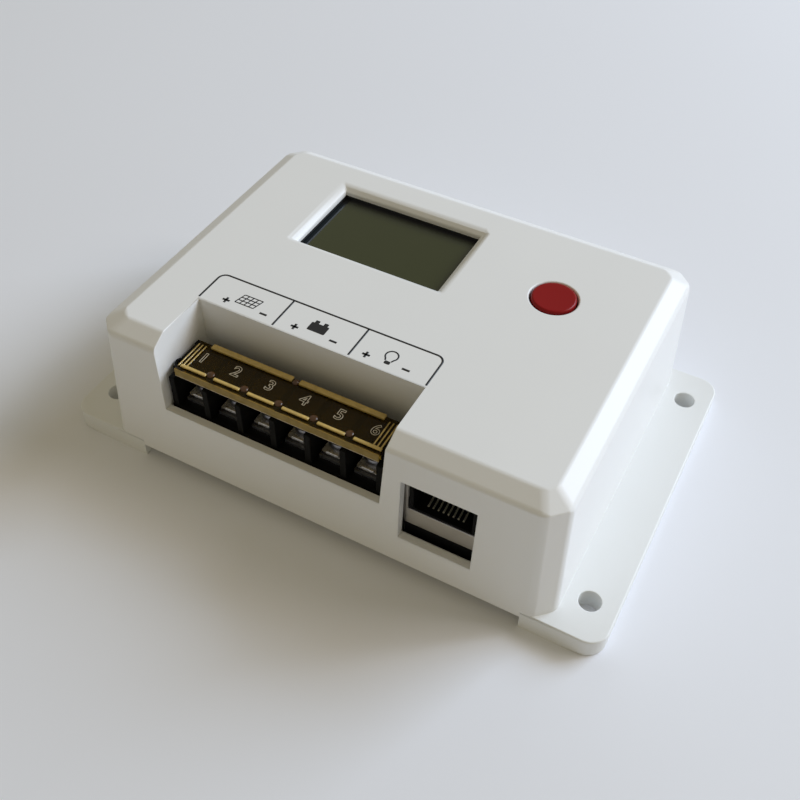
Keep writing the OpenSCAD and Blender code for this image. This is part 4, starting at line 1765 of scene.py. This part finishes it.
@dataclass(frozen=True)
class Lamp:
    """Square soft lamp that faces the object. Its place and side are in millimetres."""

    name: str
    place: Point
    side: float
    watts: float
    colour: Colour

    def hang(self) -> None:
        """Hangs the lamp."""
        data = bpy.data.lights.new(self.name, "AREA")
        data.shape = "SQUARE"
        data.size = self.side * MM
        data.energy = self.watts
        data.color = self.colour
        lamp = in_scene(self.name, data)
        lamp.location = Vector(self.place) * MM
        lamp.rotation_euler = (-Vector(self.place)).to_track_quat("-Z", "Y").to_euler()


@dataclass
class Studio:
    """Pale floor, soft light from the back right, and the camera.

    The camera's reach is in metres. The floor turns into the background from fade_from on, over fade_over.
    """

    azimuth: float = 27.14
    elevation: float = 46.71
    roll: float = 1.476
    eye: Point = (67.64, -133.04, 161.57)
    lens: float = 44.67
    sensor: float = 36.0
    nearest: float = 0.005
    farthest: float = 20.0
    key: Lamp = Lamp("key", (910, 1165, 888), 900.0, 24.6, (0.664, 0.80, 1.0))
    upper: Lamp = Lamp("upper", (1145, 660, 1109), 630.0, 7.1, (1.0, 0.95, 0.92))
    floor_half: float = 12000.0
    floor_colour: Colour = (0.88, 0.89, 0.935)
    floor_cloud: float = 160.0
    floor_share: float = 0.97
    floor_rough: float = 0.65
    cloud_rough: float = 0.05
    sky: Colour = (0.284, 0.252, 0.175)
    background: Colour = (0.40, 0.385, 0.34)
    fade_from: float = 450.0
    fade_over: float = 2000.0

    def camera(self) -> None:
        """Sets up the camera."""
        az, el, roll = (math.radians(a) for a in (self.azimuth, self.elevation, self.roll))
        forward = Vector((-math.sin(az) * math.cos(el), math.cos(az) * math.cos(el), -math.sin(el)))
        level = forward.cross(Vector((0, 0, 1))).normalized()
        rise = level.cross(forward)
        right = level * math.cos(roll) + rise * math.sin(roll)
        up = right.cross(forward)
        matrix = Matrix((right, up, -forward)).transposed().to_4x4()
        matrix.translation = Vector(self.eye) * MM
        data = bpy.data.cameras.new("camera")
        data.lens = self.lens
        data.sensor_width = self.sensor
        data.clip_start = self.nearest
        data.clip_end = self.farthest
        camera = in_scene("camera", data)
        camera.matrix_world = matrix
        bpy.context.scene.camera = camera

    def floor(self) -> None:
        """Lays the floor, which turns into the background far from the object."""
        h = self.floor_half * MM
        mesh = bpy.data.meshes.new("floor")
        mesh.from_pydata([(-h, -h, 0), (h, -h, 0), (h, h, 0), (-h, h, 0)], [], [(0, 1, 2, 3)])
        sheet = ShaderSheet("floor_card")
        clouds = sheet.noise(self.floor_cloud, 2.0)
        colour = sheet.blend(clouds, darker(self.floor_colour, self.floor_share), self.floor_colour)
        rough = self.floor_rough + self.cloud_rough * clouds
        card = sheet.principled({"Base Color": colour, "Roughness": rough})
        view = sheet.node("ShaderNodeEmission", {}, {"Color": (*self.background, 1.0)})
        away = sheet.node("ShaderNodeVectorMath", {"operation": "LENGTH"}, {0: sheet.place()}, "Value")
        far = sheet.clamped((away - self.fade_from) * (1.0 / self.fade_over))
        fade = far * far * (3.0 - 2.0 * far) * sheet.looked_at()
        mesh.materials.append(sheet.ended(sheet.between(fade, card, view)))
        in_scene("floor", mesh)

    def world(self) -> None:
        """Sets the even light from all round and the pale background."""
        sheet = ShaderSheet("studio", world=True)
        light = sheet.node("ShaderNodeBackground", {}, {"Color": (*self.sky, 1.0)})
        view = sheet.node("ShaderNodeBackground", {}, {"Color": (*self.background, 1.0)})
        bpy.context.scene.world = sheet.ended(sheet.between(sheet.looked_at(), light, view))

    def build(self) -> None:
        """Sets up the whole studio."""
        self.camera()
        self.floor()
        self.key.hang()
        self.upper.hang()
        self.world()
        bpy.context.scene.view_settings.view_transform = "Standard"


# --------------------------------------------------------------------------- assembly


def main() -> None:
    """Builds every sub-assembly in order."""
    logging.basicConfig(level=logging.INFO, format="%(name)s: %(message)s")
    kinds = (Studio, Dressing, Case, Marks, Display, PushButton, TerminalRow, AmberStrip, DataSocket)
    for builder in [kind() for kind in kinds]:
        log.info("building %s", type(builder).__name__)
        builder.build()


if __name__ == "__main__":
    main()
